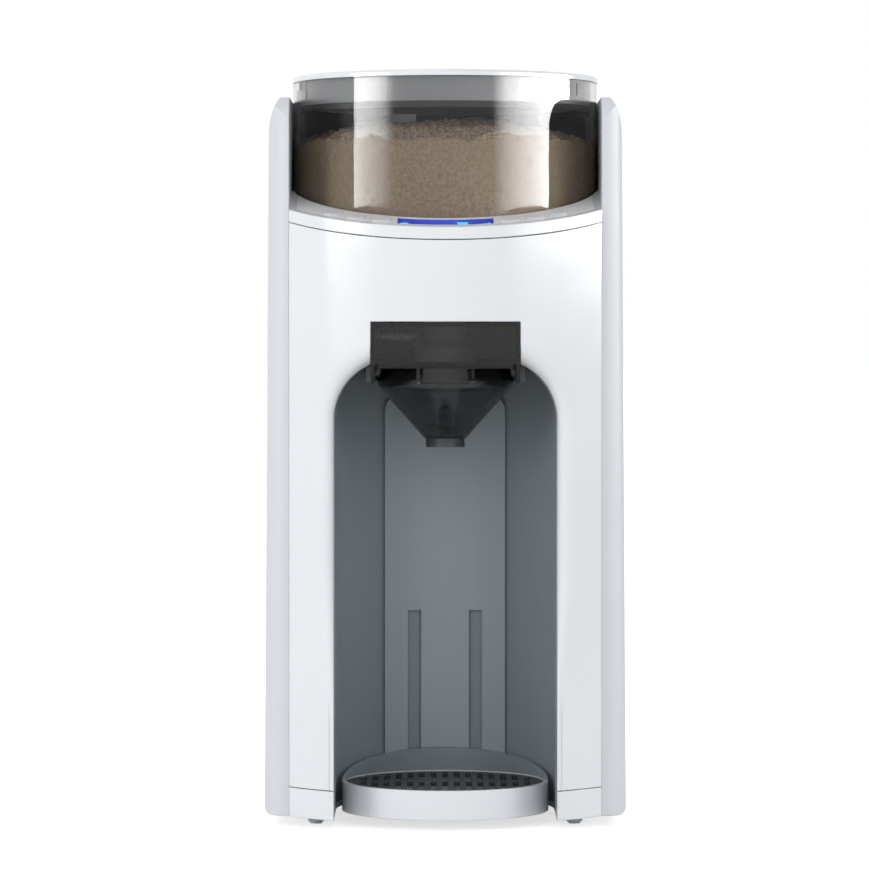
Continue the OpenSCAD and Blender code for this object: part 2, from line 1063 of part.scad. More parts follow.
module chamber_front() {
  at(0, tank_y)
    disc(fascia_r - wall, [rail_z[0] - over, gearbox_z + over]);
}

module powder_chute() {
  hood_z = flange_z + hood_gap;
  color("lightgray")
    at(0, outlet_y)
      difference() {
        union() {
          disc(hood_r, [hood_z, hood_z + hood_h]);
          translate([0, 0, hood_z + hood_h])
            cylinder(r1 = hood_r, r2 = chute_r, h = hood_shoulder);
          disc(chute_r, [hood_z + hood_h, slab_z]);
        }
        disc(chute_bore, [hood_z - over, slab_z + over]);
      }
}

module water_spout() {
  outer = chamber_half + chamber_wall;
  color("lightgray")
    difference() {
      union() {
        cross_rod(port_r, [-outer - spout_stub, spout_x], spout_y, spout_z);
        at(spout_x, spout_y)
          disc(port_r, [flange_z + spout_gap, spout_z + port_r]);
      }
      cross_rod(hose_bore, [-outer - spout_stub - over, spout_x], spout_y, spout_z);
      at(spout_x, spout_y)
        disc(hose_bore, [flange_z + spout_gap - over, spout_z + hose_bore]);
    }
}

// ---- Gear train ----

// Half of a tooth's angle at radius r, in degrees, on an involute with a 20 degree pressure angle.
pressure = 20;
function roll_angle(a) = tan(a) * 180 / PI - a;
function half_tooth(teeth, r) =
  let (pitch = teeth * gear_module / 2, base = pitch * cos(pressure))
  90 / teeth - backlash / 2 / pitch * 90 / PI + roll_angle(pressure) - roll_angle(acos(min(1, base / r)));
function polar(r, a) = [r * cos(a), r * sin(a)];

flank_steps = 5;

function tooth(teeth, turn) =
  let (
    pitch = teeth * gear_module / 2,
    root = pitch - 1.25 * gear_module,
    start = max(root, pitch * cos(pressure)),
    tip = pitch + gear_module,
    radii = [for (i = [0 : flank_steps]) start + (tip - start) * i / flank_steps]
  )
  concat(
    [polar(root, turn - half_tooth(teeth, start))],
    [for (r = radii) polar(r, turn - half_tooth(teeth, r))],
    [for (i = [flank_steps : -1 : 0]) polar(radii[i], turn + half_tooth(teeth, radii[i]))],
    [polar(root, turn + half_tooth(teeth, start))]
  );

module gear_plan(teeth, first) {
  polygon([for (k = [0 : teeth - 1]) each tooth(teeth, first + 360 * k / teeth)]);
}

module gear_body(teeth, first) {
  translate([0, 0, gear_z])
    linear_extrude(height = gear_t)
      gear_plan(teeth, first);
}

module gearbox_housing() {
  y = [tank_y - gearbox_half, motor_y + pinion_pitch + gearbox_tail];
  inner = gearbox_half - gearbox_wall;
  color("dimgray") {
    difference() {
      rounded_block([-gearbox_half, gearbox_half], y, [gearbox_z, slab_z], gearbox_corner);
      rounded_block([-inner, inner], [y[0] + gearbox_wall, y[1] - gearbox_wall],
        [gearbox_z + chamber_wall, slab_z + over], gearbox_corner - gearbox_wall);
      at(0, motor_y)
        disc(motor_shaft_r + gear_float, [gearbox_z - over, gearbox_z + 2 * chamber_wall]);
    }
    at(0, tank_y)
      ring(shaft_r + collar_wall, shaft_r + fit_gap, [gearbox_z + chamber_wall - over, gear_z - gear_float]);
    at(0, idler_y)
      disc(idler_pin_r, [gearbox_z + chamber_wall - over, gear_z + gear_t + idler_pin_past]);
    at(0, idler_y)
      disc(idler_pin_r + gearbox_wall, [gearbox_z + chamber_wall - over, gear_z - gear_float]);
  }
}

module gear_motor() {
  color("silver")
    at(0, motor_y)
      difference() {
        union() {
          disc(motor_r, [motor_z + motor_cap_h, gearbox_z]);
          disc(motor_r - motor_cap_in, [motor_z, motor_z + motor_cap_h + over]);
          both_sides()
            block(tab_x, [-tab_half, tab_half], [motor_z - tab_h, motor_z + over]);
        }
        disc(motor_shaft_r + fit_gap, [gearbox_z - shaft_reach, gearbox_z + over]);
      }
}

module shaft_bush() {
  color("goldenrod")
    at(0, tank_y)
      ring(bush_r, shaft_r + fit_gap, [seat_z - bush_h, seat_z]);
}

module drive_gear() {
  color("ivory")
    at(0, tank_y) {
      gear_body(drive_teeth, 90);
      disc(shaft_r, [gearbox_z + chamber_wall + wheel_gap, seat_z + shaft_past]);
      cross_slot(dog_w, dog_t, [seat_z + shaft_past / 2, seat_z + shaft_past + dog_h]);
    }
}

module idler_gear() {
  color("ivory")
    at(0, idler_y)
      difference() {
        gear_body(idler_teeth, 270 + 180 / idler_teeth);
        disc(idler_pin_r + fit_gap, [gear_z - over, gear_z + gear_t + over]);
      }
}

module motor_pinion() {
  color("goldenrod")
    at(0, motor_y) {
      gear_body(pinion_teeth, 270);
      disc(motor_shaft_r, [gearbox_z - shaft_reach + shaft_end, gear_z + gear_t + pinion_past]);
    }
}

// ---- Water works ----

module water_pump() {
  color("dimgray")
    at(pump_x, works_y) {
      plate_half = pump_r + works_flange;
      centred(plate_half, [-plate_half, plate_half], [floor_top, floor_top + works_flange_t]);
      disc(pump_r, [floor_top + works_flange_t, floor_top + pump_base_h]);
      disc(pump_head_r, [floor_top + pump_base_h, pump_top]);
      cross_rod(port_r, [-pump_r - port_l, 0], 0, hose_z);
      disc(port_r, [pump_top, pump_top + port_l]);
    }
}

module water_heater() {
  color("silver")
    at(heater_x, works_y) {
      plate_half = heater_r + works_flange;
      centred(plate_half, [-plate_half, plate_half], [floor_top, floor_top + works_flange_t]);
      disc(heater_r, [floor_top + works_flange_t, heater_top]);
      at(outlet_x - heater_x, 0)
        disc(port_r, [heater_top - over, heater_top + port_l]);
      cross_rod(port_r, [0, heater_r + port_l], 0, heater_top - link_drop);
    }
}

board_half = 26;
board_lift = 30;
board_h = 90;
board_z = [dock_top + board_lift, dock_top + board_lift + board_h];
board_hole_in = 5;
standoff = 6;
standoff_r = 2.5;
transformer_half = 12;
transformer_x = -8;
transformer_d = 18;
transformer_h = 30;
capacitor_r = 7;
capacitor_x = 14;
capacitor_l = 22;

module power_board() {
  y = housing_back - wall - standoff;
  color("seagreen") {
    centred(board_half, [y - board_t, y], board_z);
    for (x = [-board_half + board_hole_in, board_half - board_hole_in])
      for (z = [board_z[0] + board_hole_in, board_z[1] - board_hole_in])
        deep_rod(standoff_r, x, [y - over / 2, housing_back - wall], z);
    block([transformer_x - transformer_half, transformer_x + transformer_half],
      [y - board_t - transformer_d, y - board_t + over / 2],
      [board_z[0] + 2 * board_hole_in, board_z[0] + 2 * board_hole_in + transformer_h]);
    deep_rod(capacitor_r, capacitor_x, [y - board_t - capacitor_l, y - board_t + over / 2],
      board_z[1] - board_lift);
  }
}

// A quarter bend of hose: it starts at the origin along +X and ends along +Y.
bend_r = 12;

module bend(r) {
  translate([0, bend_r, 0])
    rotate([0, 0, -90])
      rotate_extrude(angle = 90)
        translate([bend_r, 0])
          circle(r = r);
}

// The three hoses: dock to pump, pump to heater, heater to spout.
module inlet_run(r) {
  deep_rod(r, 0, [works_y + bend_r, water_mid - valve_r - socket_wall - slide_gap], hose_z);
  translate([0, works_y + bend_r, hose_z])
    rotate([0, 0, -90])
      bend(r);
  cross_rod(r, [bend_r, pump_x - pump_r - slide_gap], works_y, hose_z);
}

module link_run(r) {
  top = heater_top - link_drop;
  at(pump_x, works_y)
    disc(r, [pump_top + slide_gap, top - bend_r]);
  translate([pump_x, works_y, top - bend_r])
    rotate([90, 0, 0])
      rotate([0, 0, 90])
        bend(r);
  cross_rod(r, [heater_x + heater_r + slide_gap, pump_x - bend_r], works_y, top);
}

module outlet_run(r) {
  x = outlet_x;
  at(x, works_y)
    disc(r, [heater_top + slide_gap, spout_z - bend_r]);
  translate([x, works_y, spout_z - bend_r])
    rotate([0, -90, 0])
      rotate([180, 0, 0])
        bend(r);
  deep_rod(r, x, [spout_y + bend_r, works_y - bend_r], spout_z);
  translate([x, spout_y + bend_r, spout_z])
    rotate([0, 0, -90])
      bend(r);
  cross_rod(r, [x + bend_r, -chamber_half - chamber_wall - slide_gap], spout_y, spout_z);
}

module water_hoses() {
  color("lightsteelblue") {
    difference() {
      inlet_run(hose_r + 1);
      inlet_run(port_r);
    }
    difference() {
      link_run(hose_r + 1);
      link_run(port_r);
    }
    difference() {
      outlet_run(hose_r + 1);
      outlet_run(port_r);
    }
  }
}

// The dock behind the housing: a raised box with the water tank's socket.
module tank_dock() {
  color("white")
    difference() {
      union() {
        difference() {
          dock_form(0, [skirt_top, dock_top]);
          dock_form(wall, [skirt_top - over, dock_top - floor_t]);
          centred(panel_in - wall, [housing_back - 2 * wall, housing_back + wall + over], [skirt_top - over, dock_top - floor_t]);
        }
        at(0, water_mid)
          disc(valve_r + socket_wall, [floor_top + socket_lift, dock_top]);
        deep_rod(port_r, 0, [water_mid - valve_r - socket_wall - port_l, water_mid], hose_z);
        both_sides()
          for (y = [screw_mid_y, screw_back_y])
            at(screw_x, y)
              disc(boss_r, [floor_top, dock_top - over]);
      }
      at(0, water_mid)
        disc(valve_r + slide_gap, [dock_top - socket_depth, dock_top + over]);
      deep_rod(hose_bore, 0, [water_mid - valve_r - 2 * socket_wall, water_mid], hose_z);
      at(0, water_mid)
        disc(hose_bore, [hose_z, dock_top]);
      screw_places()
        screw_thread();
      cord_hole();
    }
}

module dock_form(inset, z) {
  rear_block(dock_half - inset, [housing_back + inset, back_y - inset], z, dock_corner, water_corner - inset);
  block([-panel_in + inset, panel_in - inset], [housing_back - wall, back_y / 2], z);
}

module dock_seal() {
  color("dimgray")
    at(0, water_mid)
      ring(valve_r + slide_gap, hose_bore + seal_rim, [dock_top - socket_depth, dock_top - socket_depth + seal_t]);
}

cord_side = 2;
cord_lift = 14;
cord_x = water_corner + cord_side - dock_half;
cord_z = floor_z + cord_lift;
gland_r = 6;
gland_play = 0.1;
gland_sunk = 0.4;
gland_bore = 3.2;
gland_l = 4;
gland_y = back_y - wall - gland_l;
gland_flange = 1.6;
gland_flange_t = 1.9;

module cord_hole() {
  deep_rod(gland_r + gland_play, cord_x, [back_y - wall - 2 * over, back_y + over], cord_z);
}

module cord_gland() {
  color("dimgray")
    difference() {
      union() {
        deep_rod(gland_r, cord_x, [gland_y, back_y - gland_sunk], cord_z);
        deep_rod(gland_r + gland_flange, cord_x, [gland_y, gland_y + gland_flange_t], cord_z);
      }
      deep_rod(gland_bore, cord_x, [gland_y - over, back_y + over], cord_z);
    }
}

// ---- Powder tank ----

module powder_tank() {
  color("lightgray", 0.5)
    at(0, tank_y)
      difference() {
        union() {
          ring(tank_r, tank_r - tank_wall, [seat_z, tank_top]);
          disc(tank_r - tank_wall / 2, [seat_z, tank_floor_top]);
          ring(wheel_r + wheel_guard, wheel_r + wheel_play, [seat_z, wheel_top]);
        }
        disc(hub_r + slide_gap, [seat_z - over, wheel_z]);
        at(0, -dose_r)
          disc(outlet_r, [seat_z - over, wheel_z]);
        for (angle = lug_angles)
          rotate([0, 0, angle])
            bayonet_groove();
      }
}

// The groove in the tank's inner wall that a lug of the lid drops into and turns along.
module bayonet_groove() {
  depth = lid_skirt_r + lug_out + slide_gap;
  top = tank_top - lug_drop;
  intersection() {
    disc(depth, [top - lug_h - over, tank_top + over]);
    union() {
      block([0, tank_r], [-lug_w / 2 - lug_play, lug_w / 2 + lug_play], [top - lug_h - lug_play, tank_top + 2 * over]);
      block([0, tank_r], [-2 * lug_w, lug_w / 2 + lug_play], [top - lug_h - lug_play, top + lug_play]);
    }
  }
}

// The powder, kept clear of what the stirrer sweeps.
module formula_powder() {
  sweep_top = arm_z + arm_t + powder_gap;
  color("tan")
    at(0, tank_y) {
      ring(powder_r, arm_r + powder_gap, [wiper_z[1] + seal_gap, sweep_top + over]);
      ring(powder_r, blade_in + blade_w + powder_gap, [sweep_top, powder_top]);
    }
}

// A fixed plate that covers the wheel over the outlet, so only a full pocket empties.
module powder_wiper() {
  color("whitesmoke")
    at(0, tank_y)
      intersection() {
        ring(tank_r - tank_wall, hub_r + wiper_in, wiper_z);
        centred(wiper_half, [-tank_r, 0], [wheel_z, arm_z]);
      }
}

module measuring_wheel() {
  color("white")
    at(0, tank_y)
      difference() {
        union() {
          disc(wheel_r, [wheel_z, wheel_top]);
          disc(hub_r, [seat_z + shaft_past, wheel_z + over]);
          disc(wheel_boss_r, [wheel_z, boss_top]);
        }
        for (k = [0 : pockets - 1])
          rotate([0, 0, 360 * k / pockets - 90])
            block([pocket_in, wheel_r + over], [-pocket_w / 2, pocket_w / 2], [wheel_z - over, wheel_top + over]);
        cross_slot(dog_w + 2 * slide_gap, dog_t + 2 * slide_gap, [seat_z, seat_z + shaft_past + dog_h + slide_gap]);
      }
}

// The stirrer: a hub on the wheel, two arms and two upright blades.
module stirrer() {
  color("whitesmoke")
    at(0, tank_y)
      difference() {
        union() {
          disc(wheel_boss_r + stirrer_wall, [arm_z, boss_top + stirrer_wall]);
          centred(arm_r, [-arm_half, arm_half], [arm_z, arm_z + arm_t]);
          block([-blade_in - blade_w, -blade_in], [-blade_t / 2, blade_t / 2], [arm_z, blade_top]);
          block([blade_in, blade_in + blade_w], [-blade_t / 2, blade_t / 2], [arm_z, arm_z + short_blade_h]);
        }
        disc(wheel_boss_r, [arm_z - over, boss_top]);
      }
}

module lid_top() {
  color("white")
    at(0, tank_y)
      rotate_extrude()
        difference() {
          translate([0, tank_top])
            square([lid_r, lid_t]);
          translate([lid_r - lid_edge, tank_top + lid_t - lid_edge])
            difference() {
              square([2 * lid_edge, 2 * lid_edge]);
              circle(r = lid_edge);
            }
        }
}

module lid_skirt() {
  color("gainsboro")
    at(0, tank_y) {
      ring(lid_skirt_r, lid_skirt_r - lid_skirt_t, [tank_top - lid_skirt_h, tank_top]);
      for (angle = lug_angles)
        rotate([0, 0, angle])
          intersection() {
            disc(lid_skirt_r + lug_out, [tank_top - lug_drop - lug_h, tank_top - lug_drop]);
            block([lid_skirt_r - lid_skirt_t / 2, tank_r], [-lug_w / 2, lug_w / 2], [tank_top - lid_skirt_h, tank_top]);
          }
    }
}

module lid_seal() {
  z = tank_top - lid_skirt_h;
  color("dimgray")
    at(0, tank_y)
      ring(tank_r - tank_wall - seal_gap, lid_skirt_r - lid_skirt_t, [z - seal_h, z]);
}

// ---- Funnel and cover ----

cone_z = flange_z - funnel_rim_h;
neck_z = cone_z - funnel_cone_h;
nozzle_z = neck_z - nozzle_h;

// The arc that rounds the corner between the straight rim and the cone.
cone_angle = atan((funnel_r - nozzle_neck) / funnel_cone_h);
shoulder_steps = 8;

function shoulder_arc(r) =
  let (z = cone_z + r * tan(cone_angle / 2))
  [for (i = [0 : shoulder_steps])
    [funnel_r - r, z] + polar(r, -cone_angle * i / shoulder_steps)];

module funnel_bowl() {
  inner_step = funnel_wall * tan(cone_angle / 2);
  rotate_extrude()
    polygon(concat(
      [[mouth_r, flange_z], [funnel_r, flange_z]],
      shoulder_arc(funnel_shoulder),
      [
        [nozzle_neck, neck_z],
        [nozzle_r, neck_z],
        [nozzle_r, nozzle_z],
        [nozzle_r - funnel_wall, nozzle_z],
        [nozzle_r - funnel_wall, neck_z + inner_step],
        [mouth_r, cone_z + inner_step]
      ]
    ));
}

// The smoky funnel, with its carrying plate, side tongues and the loop that breaks up clumps.
module mixing_funnel() {
  color("darkslategray", 0.7) {
    difference() {
      union() {
        intersection() {
          centred(funnel_r, [front_y, bay_y + funnel_r], [flange_z - funnel_wall, flange_z]);
          at(0, tank_y)
            disc(fascia_r - cover_t - slide_gap, [flange_z - 2 * funnel_wall, flange_z + over]);
        }
        intersection() {
          both_sides()
            union() {
              cross_rod(ear_r, [funnel_r - ear_t, funnel_r - ear_play], pin_y, pin_z);
              block([funnel_r - ear_t, funnel_r - ear_play], [pin_y - ear_r, pin_y + ear_r],
                [pin_z, flange_z - over]);
            }
          at(0, tank_y)
            disc(fascia_r - cover_t - slide_gap, [flange_z - 2 * leg_drop, flange_z]);
        }
        both_sides()
          block([funnel_r - funnel_wall, chamber_half - slide_gap],
            [rail_front + tongue_in, bay_y + funnel_r], [groove_z[0] + ear_play, groove_z[1] - ear_play]);
      }
      at(0, bay_y)
        disc(funnel_r - funnel_wall / 2, [flange_z - leg_drop, flange_z + over]);
      cross_rod(pin_r, [-funnel_r, funnel_r], pin_y, pin_z);
    }
    at(0, bay_y) {
      funnel_bowl();
      clump_loop();
    }
  }
}

loop_half = 6.3;
loop_t = 2;
loop_bar = 3;
loop_leg = 5;

module clump_loop() {
  z = neck_z + 2 * loop_bar;
  translate([0, loop_t / 2, 0])
    rotate([90, 0, 0])
      linear_extrude(height = loop_t)
        difference() {
          union() {
            translate([-nozzle_neck - over, neck_z + loop_bar])
              square([2 * (nozzle_neck + over), loop_bar]);
            translate([-loop_half, z])
              square([2 * loop_half, loop_leg]);
            translate([0, z + loop_leg])
              circle(r = loop_half);
          }
          translate([0, z + loop_leg])
            circle(r = loop_half - loop_t);
          translate([-loop_half + loop_t, z + over])
            square([2 * (loop_half - loop_t), loop_leg - over]);
        }
}

module cover_pins() {
  color("black")
    both_sides()
      cross_rod(pin_r, [funnel_r - ear_t - slide_gap, cover_half - cover_gap], pin_y, pin_z);
}

// The smoky front cover, flush with the fascia, that swings on the two pins.
module funnel_cover() {
  legs_z = flange_z - leg_drop;
  color("darkslategray", 0.7)
    difference() {
      intersection() {
        at(0, tank_y)
          ring(fascia_r, fascia_r - cover_depth, [legs_z, cover_top]);
        centred(cover_half, [front_y - over, pin_y + leg_past], [legs_z, cover_top]);
      }
      intersection() {
        at(0, tank_y)
          disc(fascia_r - cover_t, [legs_z - over, cover_top - cover_t]);
        centred(cover_half - cover_leg, [front_y, tank_y], [legs_z - over, cover_top]);
      }
      centred(cover_half - cover_leg, [front_y - over, tank_y], [legs_z - over, flange_z]);
      cross_rod(pin_r + fit_gap, [-body_w, body_w], pin_y, pin_z);
    }
}

// ---- Drip tray ----

module tray_shell() {
  grille_z = tray_top - grille_drop - grille_t;
  color("whitesmoke")
    at(0, bay_y)
      difference() {
        disc(tray_r, [tray_z, tray_top]);
        disc(tray_r - tray_wall, [grille_z, tray_top + over]);
        disc(tray_r - tray_wall - ledge_w, [tray_z + tray_wall, tray_top]);
      }
}

// The collar at the tray's back, which rises away from the bottle and carries the two tongues.
module tray_collar() {
  rise = atan(collar_h / tray_r);
  color("slategray")
    at(0, bay_y) {
      intersection() {
        ring(tray_r, tray_r - tray_wall, [tray_top, tray_top + collar_h]);
        centred(tray_r, [0, tray_r], [tray_top, tray_top + collar_h]);
        translate([0, 0, tray_top])
          rotate([rise, 0, 0])
            translate([-body_w, 0, -body_w])
              cube([2 * body_w, body_w, body_w]);
      }
      both_sides()
        intersection() {
          block([tongue_x - tongue_w / 2, tongue_x + tongue_w / 2], [0, tray_r],
            [tray_top, tray_top + tongue_h]);
          ring(bay_half - slide_gap, tray_r - over, [tray_top, tray_top + collar_h]);
        }
    }
}

module tray_grille() {
  grille_z = tray_top - grille_drop - grille_t;
  grille_r = tray_r - tray_wall - slide_gap;
  reach = floor((grille_r - 2 * grille_rim) / slot_pitch);
  color("darkslategray")
    at(0, bay_y)
      difference() {
        disc(grille_r, [grille_z, grille_z + grille_t]);
        for (i = [-reach : reach])
          grille_slot(i * slot_pitch, grille_r - grille_rim, grille_z);
      }
}

module grille_slot(x, r, z) {
  half = sqrt(r * r - x * x) - slot_w / 2;
  for (y = [[-half, -grille_bar], [grille_bar, half]])
    block([x - slot_w / 2, x + slot_w / 2], y, [z - over, z + grille_t + over]);
}

// ---- Water tank ----

module water_form(inset, z) {
  rear_block(water_half - inset, [water_y[0] + inset, water_y[1] - inset], z,
    water_front_corner - inset, water_corner - inset);
}

module water_tank() {
  color("lightsteelblue", 0.5)
    difference() {
      union() {
        difference() {
          water_form(0, [dock_top, water_top]);
          water_form(water_wall, [dock_top + water_floor, water_top + over]);
        }
        hinge_ears();
        at(float_x, float_y)
          float_post();
      }
      at(0, water_mid)
        disc(valve_r, [dock_top - over, dock_top + water_floor + over]);
      cross_rod(hinge_r + fit_gap, [-water_half, water_half], hinge_y, hinge_z);
    }
}

module hinge_ears() {
  both_sides()
    union() {
      block(ear_x, [hinge_y - knuckle_r, water_y[1] - water_wall / 2], [water_top - ear_drop, hinge_z]);
      cross_rod(knuckle_r, ear_x, hinge_y, hinge_z);
    }
}

module float_post() {
  z = dock_top + water_floor;
  disc(post_r, [z - over, z + float_lift + float_h + float_travel + post_past]);
  disc(post_r + post_foot, [z - over, z + float_lift]);
}

module float() {
  z = dock_top + water_floor + float_lift;
  color("orange")
    at(float_x, float_y)
      ring(float_r, post_r + slide_gap, [z, z + float_h]);
}

// The valve that opens when the tank stands in its socket.
module tank_valve() {
  color("gainsboro")
    at(0, water_mid)
      difference() {
        union() {
          disc(valve_r, [dock_top - valve_reach, dock_top + water_floor]);
          disc(valve_r + valve_lip, [dock_top + water_floor, dock_top + water_floor + valve_lip_t]);
          disc(valve_r - valve_step, [dock_top + water_floor, dock_top + water_floor + valve_stem_h]);
        }
        disc(valve_r - valve_wall, [dock_top - valve_reach - over, dock_top + water_floor + valve_stem_h + over]);
      }
}

// The hinged lid of the water tank, with a locating rim and a thumb tab.
module water_tank_lid() {
  z = water_top + lid_gap;
  color("white")
    difference() {
      union() {
        intersection() {
          water_form(0, [z, z + lid_plate_t]);
          centred(water_half, [water_y[0], hinge_y + plate_past], [z, z + lid_plate_t]);
        }
        lid_rim();
        centred(thumb_half, [water_y[0] + tab_y[0], water_y[0] + tab_y[1]],
          [z + lid_plate_t, z + lid_plate_t + thumb_h]);
        cross_rod(knuckle_r, [-ear_x[0] + knuckle_gap, ear_x[0] - knuckle_gap], hinge_y, hinge_z);
        centred(ear_x[0] - knuckle_gap, [hinge_y - web_half, hinge_y + web_half], [z, hinge_z]);
      }
      both_sides()
        block([ear_x[0] - knuckle_gap, ear_x[1] + knuckle_gap], [hinge_y - knuckle_r - knuckle_play, back_y],
          [z - over, hinge_z + 2 * knuckle_r]);
      cross_rod(hinge_r + fit_gap, [-water_half, water_half], hinge_y, hinge_z);
    }
}

module lid_rim() {
  z = [water_top - rim_drop, water_top + lid_gap + over];
  gap = water_wall + rim_gap;
  difference() {
    intersection() {
      water_form(gap, z);
      centred(water_half, [water_y[0], hinge_y - rim_back], z);
    }
    intersection() {
      water_form(gap + rim_t, [z[0] - over, z[1] + over]);
      centred(water_half, [water_y[0], hinge_y - rim_back - rim_t], [z[0] - over, z[1] + over]);
    }
  }
}

module lid_hinge_pin() {
  color("silver")
    cross_rod(hinge_r, [-ear_x[1], ear_x[1]], hinge_y, hinge_z);
}

base_chassis();
base_plate();
base_feet();
front_fascia();
left_side_panel();
right_side_panel();
rear_panel();
rear_top_cover();
well_ring();
bay_liner();
bay_back_panel();
tank_deck();
deck_bezel();
control_panel();
lcd_window();
lcd_module();
control_board();
button_1();
button_2();
button_3();
button_4();
button_5();
button_6();
funnel_dock();
powder_chute();
water_spout();
gearbox_housing();
gear_motor();
shaft_bush();
drive_gear();
idler_gear();
motor_pinion();
water_pump();
water_heater();
power_board();
water_hoses();
tank_dock();
dock_seal();
cord_gland();
case_screws();
powder_tank();
formula_powder();
powder_wiper();
measuring_wheel();
stirrer();
lid_top();
lid_skirt();
lid_seal();
mixing_funnel();
cover_pins();
funnel_cover();
tray_shell();
tray_collar();
tray_grille();
water_tank();
tank_valve();
float();
water_tank_lid();
lid_hinge_pin();
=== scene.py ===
"""Looks of the baby formula maker. Everything is in metres, z is up and the front faces -Y."""

import json
import math

import bmesh
import bpy
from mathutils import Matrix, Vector, noise


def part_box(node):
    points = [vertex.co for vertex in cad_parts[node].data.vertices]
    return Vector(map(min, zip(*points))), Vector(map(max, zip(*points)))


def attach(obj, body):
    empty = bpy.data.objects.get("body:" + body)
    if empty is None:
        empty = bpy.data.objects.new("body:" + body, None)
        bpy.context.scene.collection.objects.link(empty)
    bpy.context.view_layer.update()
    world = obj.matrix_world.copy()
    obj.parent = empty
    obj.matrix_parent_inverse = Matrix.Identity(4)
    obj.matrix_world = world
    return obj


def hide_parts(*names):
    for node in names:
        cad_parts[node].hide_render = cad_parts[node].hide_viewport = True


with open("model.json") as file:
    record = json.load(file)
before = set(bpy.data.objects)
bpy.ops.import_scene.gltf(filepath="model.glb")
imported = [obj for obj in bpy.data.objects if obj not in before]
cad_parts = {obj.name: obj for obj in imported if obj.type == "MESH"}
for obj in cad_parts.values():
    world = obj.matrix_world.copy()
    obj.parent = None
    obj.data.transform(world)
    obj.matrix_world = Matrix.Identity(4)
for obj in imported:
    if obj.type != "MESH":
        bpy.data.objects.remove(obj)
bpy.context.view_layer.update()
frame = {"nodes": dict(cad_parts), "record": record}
nodes = frame["nodes"]
scene = bpy.context.scene

# Places that repeat the CAD source
TANK_Y = -0.065
FASCIA_R = 0.100
PANEL_IN = 0.079
BAY_HALF = 0.056
BAY_TOP = 0.237
BAY_CORNER = 0.030
LIP_R = 0.090
RETURN_Y = -0.1003
SKIRT_TOP = 0.0206
CUT_HALF = 0.0375
CUT_TOP = 0.2562
DECK_SLOPE = math.radians(14)
DECK_AXIS_Z = 0.32793
BEZEL_H = 0.006
FASCIA_WALL = 0.0024
SEAM_GAP = 0.0004
TANK_R = 0.0786
TANK_FLOOR = 0.0037
WHEEL_RING_R = 0.0665
POWDER_FOOT = 0.3112
DOCK_SLIDE_TOP = 0.2372

# The powder's heap, which reaches 0.1 mm into the tank's wall so that no gap shows
POWDER_R = 0.0757
POWDER_RIM = 0.3475
POWDER_MOUND = 0.0105
POWDER_RINGS = 84
POWDER_SEGMENTS = 420
POWDER_WALL_SHARES = (0.3, 0.6, 0.9, 1.0)
HILL_DEPTH = 0.0034
CLUMP_DEPTH = 0.0036
GRAIN_DEPTH = 0.0026

# Where one colour gives way to another
# DOCK_BLEND is the height over which the dock's painted shade on its slides fades in.
DOCK_BLEND = 0.0002
CRUMBS_BELOW = 0.0008
CRUMBS_ABOVE = 0.0012


# ---- Materials ----


def srgb(red, green, blue):
    """A colour given as 0-255 screen values, as Blender's linear colour."""

    def linear(value):
        value /= 255
        return value / 12.92 if value <= 0.04045 else ((value + 0.055) / 1.055) ** 2.4

    return (linear(red), linear(green), linear(blue), 1.0)


class Shader:
    """A material's node tree with its Principled shader."""

    def __init__(self, name):
        self.material = bpy.data.materials.new(name)
        self.material.use_nodes = True
        self.tree = self.material.node_tree
        self.main = self.tree.nodes["Principled BSDF"]
        self.output = self.tree.nodes["Material Output"]
        self.place = self.add("ShaderNodeTexCoord").outputs["Object"]

    def add(self, kind, **values):
        node = self.tree.nodes.new(kind)
        for key, value in values.items():
            if key in node.inputs:
                node.inputs[key].default_value = value
            else:
                setattr(node, key, value)
        return node

    def link(self, start, end):
        self.tree.links.new(start, end)

    def noise(self, scale, detail=2.0, rough=0.5):
        node = self.add("ShaderNodeTexNoise", Scale=scale, Detail=detail, Roughness=rough)
        self.link(self.place, node.inputs["Vector"])
        return node.outputs["Fac"]

    def along(self, axis):
        """The place along X, Y or Z in metres."""
        split = self.add("ShaderNodeSeparateXYZ")
        self.link(self.place, split.inputs["Vector"])
        return split.outputs[axis]

    def span(self, value, low, high, start=0.3, end=0.7):
        node = self.add("ShaderNodeMapRange")
        node.inputs["From Min"].default_value = start
        node.inputs["From Max"].default_value = end
        node.inputs["To Min"].default_value = low
        node.inputs["To Max"].default_value = high
        self.link(value, node.inputs["Value"])
        return node.outputs["Result"]

    def blend(self, factor, first, second):
        node = self.add("ShaderNodeMix", data_type="RGBA")
        self.link(factor, node.inputs["Factor"])
        for socket, colour in ((node.inputs[6], first), (node.inputs[7], second)):
            if isinstance(colour, tuple):
                socket.default_value = colour
            else:
                self.link(colour, socket)
        return node.outputs[2]

    def relief(self, height, depth, edge=0.0):
        """Bump of a depth in metres over the surface, whose corners are softened by the edge radius."""
        bump = self.add("ShaderNodeBump", Strength=1.0, Distance=depth)
        self.link(height, bump.inputs["Height"])
        if edge:
            corner = self.add("ShaderNodeBevel", samples=4, Radius=edge)
            self.link(corner.outputs["Normal"], bump.inputs["Normal"])
        self.link(bump.outputs["Normal"], self.main.inputs["Normal"])
        return bump

    def set(self, **values):
        for key, value in values.items():
            self.main.inputs[key.replace("_", " ")].default_value = value


def tone(colour, factor):
    return tuple(min(1.0, channel * factor) for channel in colour[:3]) + (1.0,)


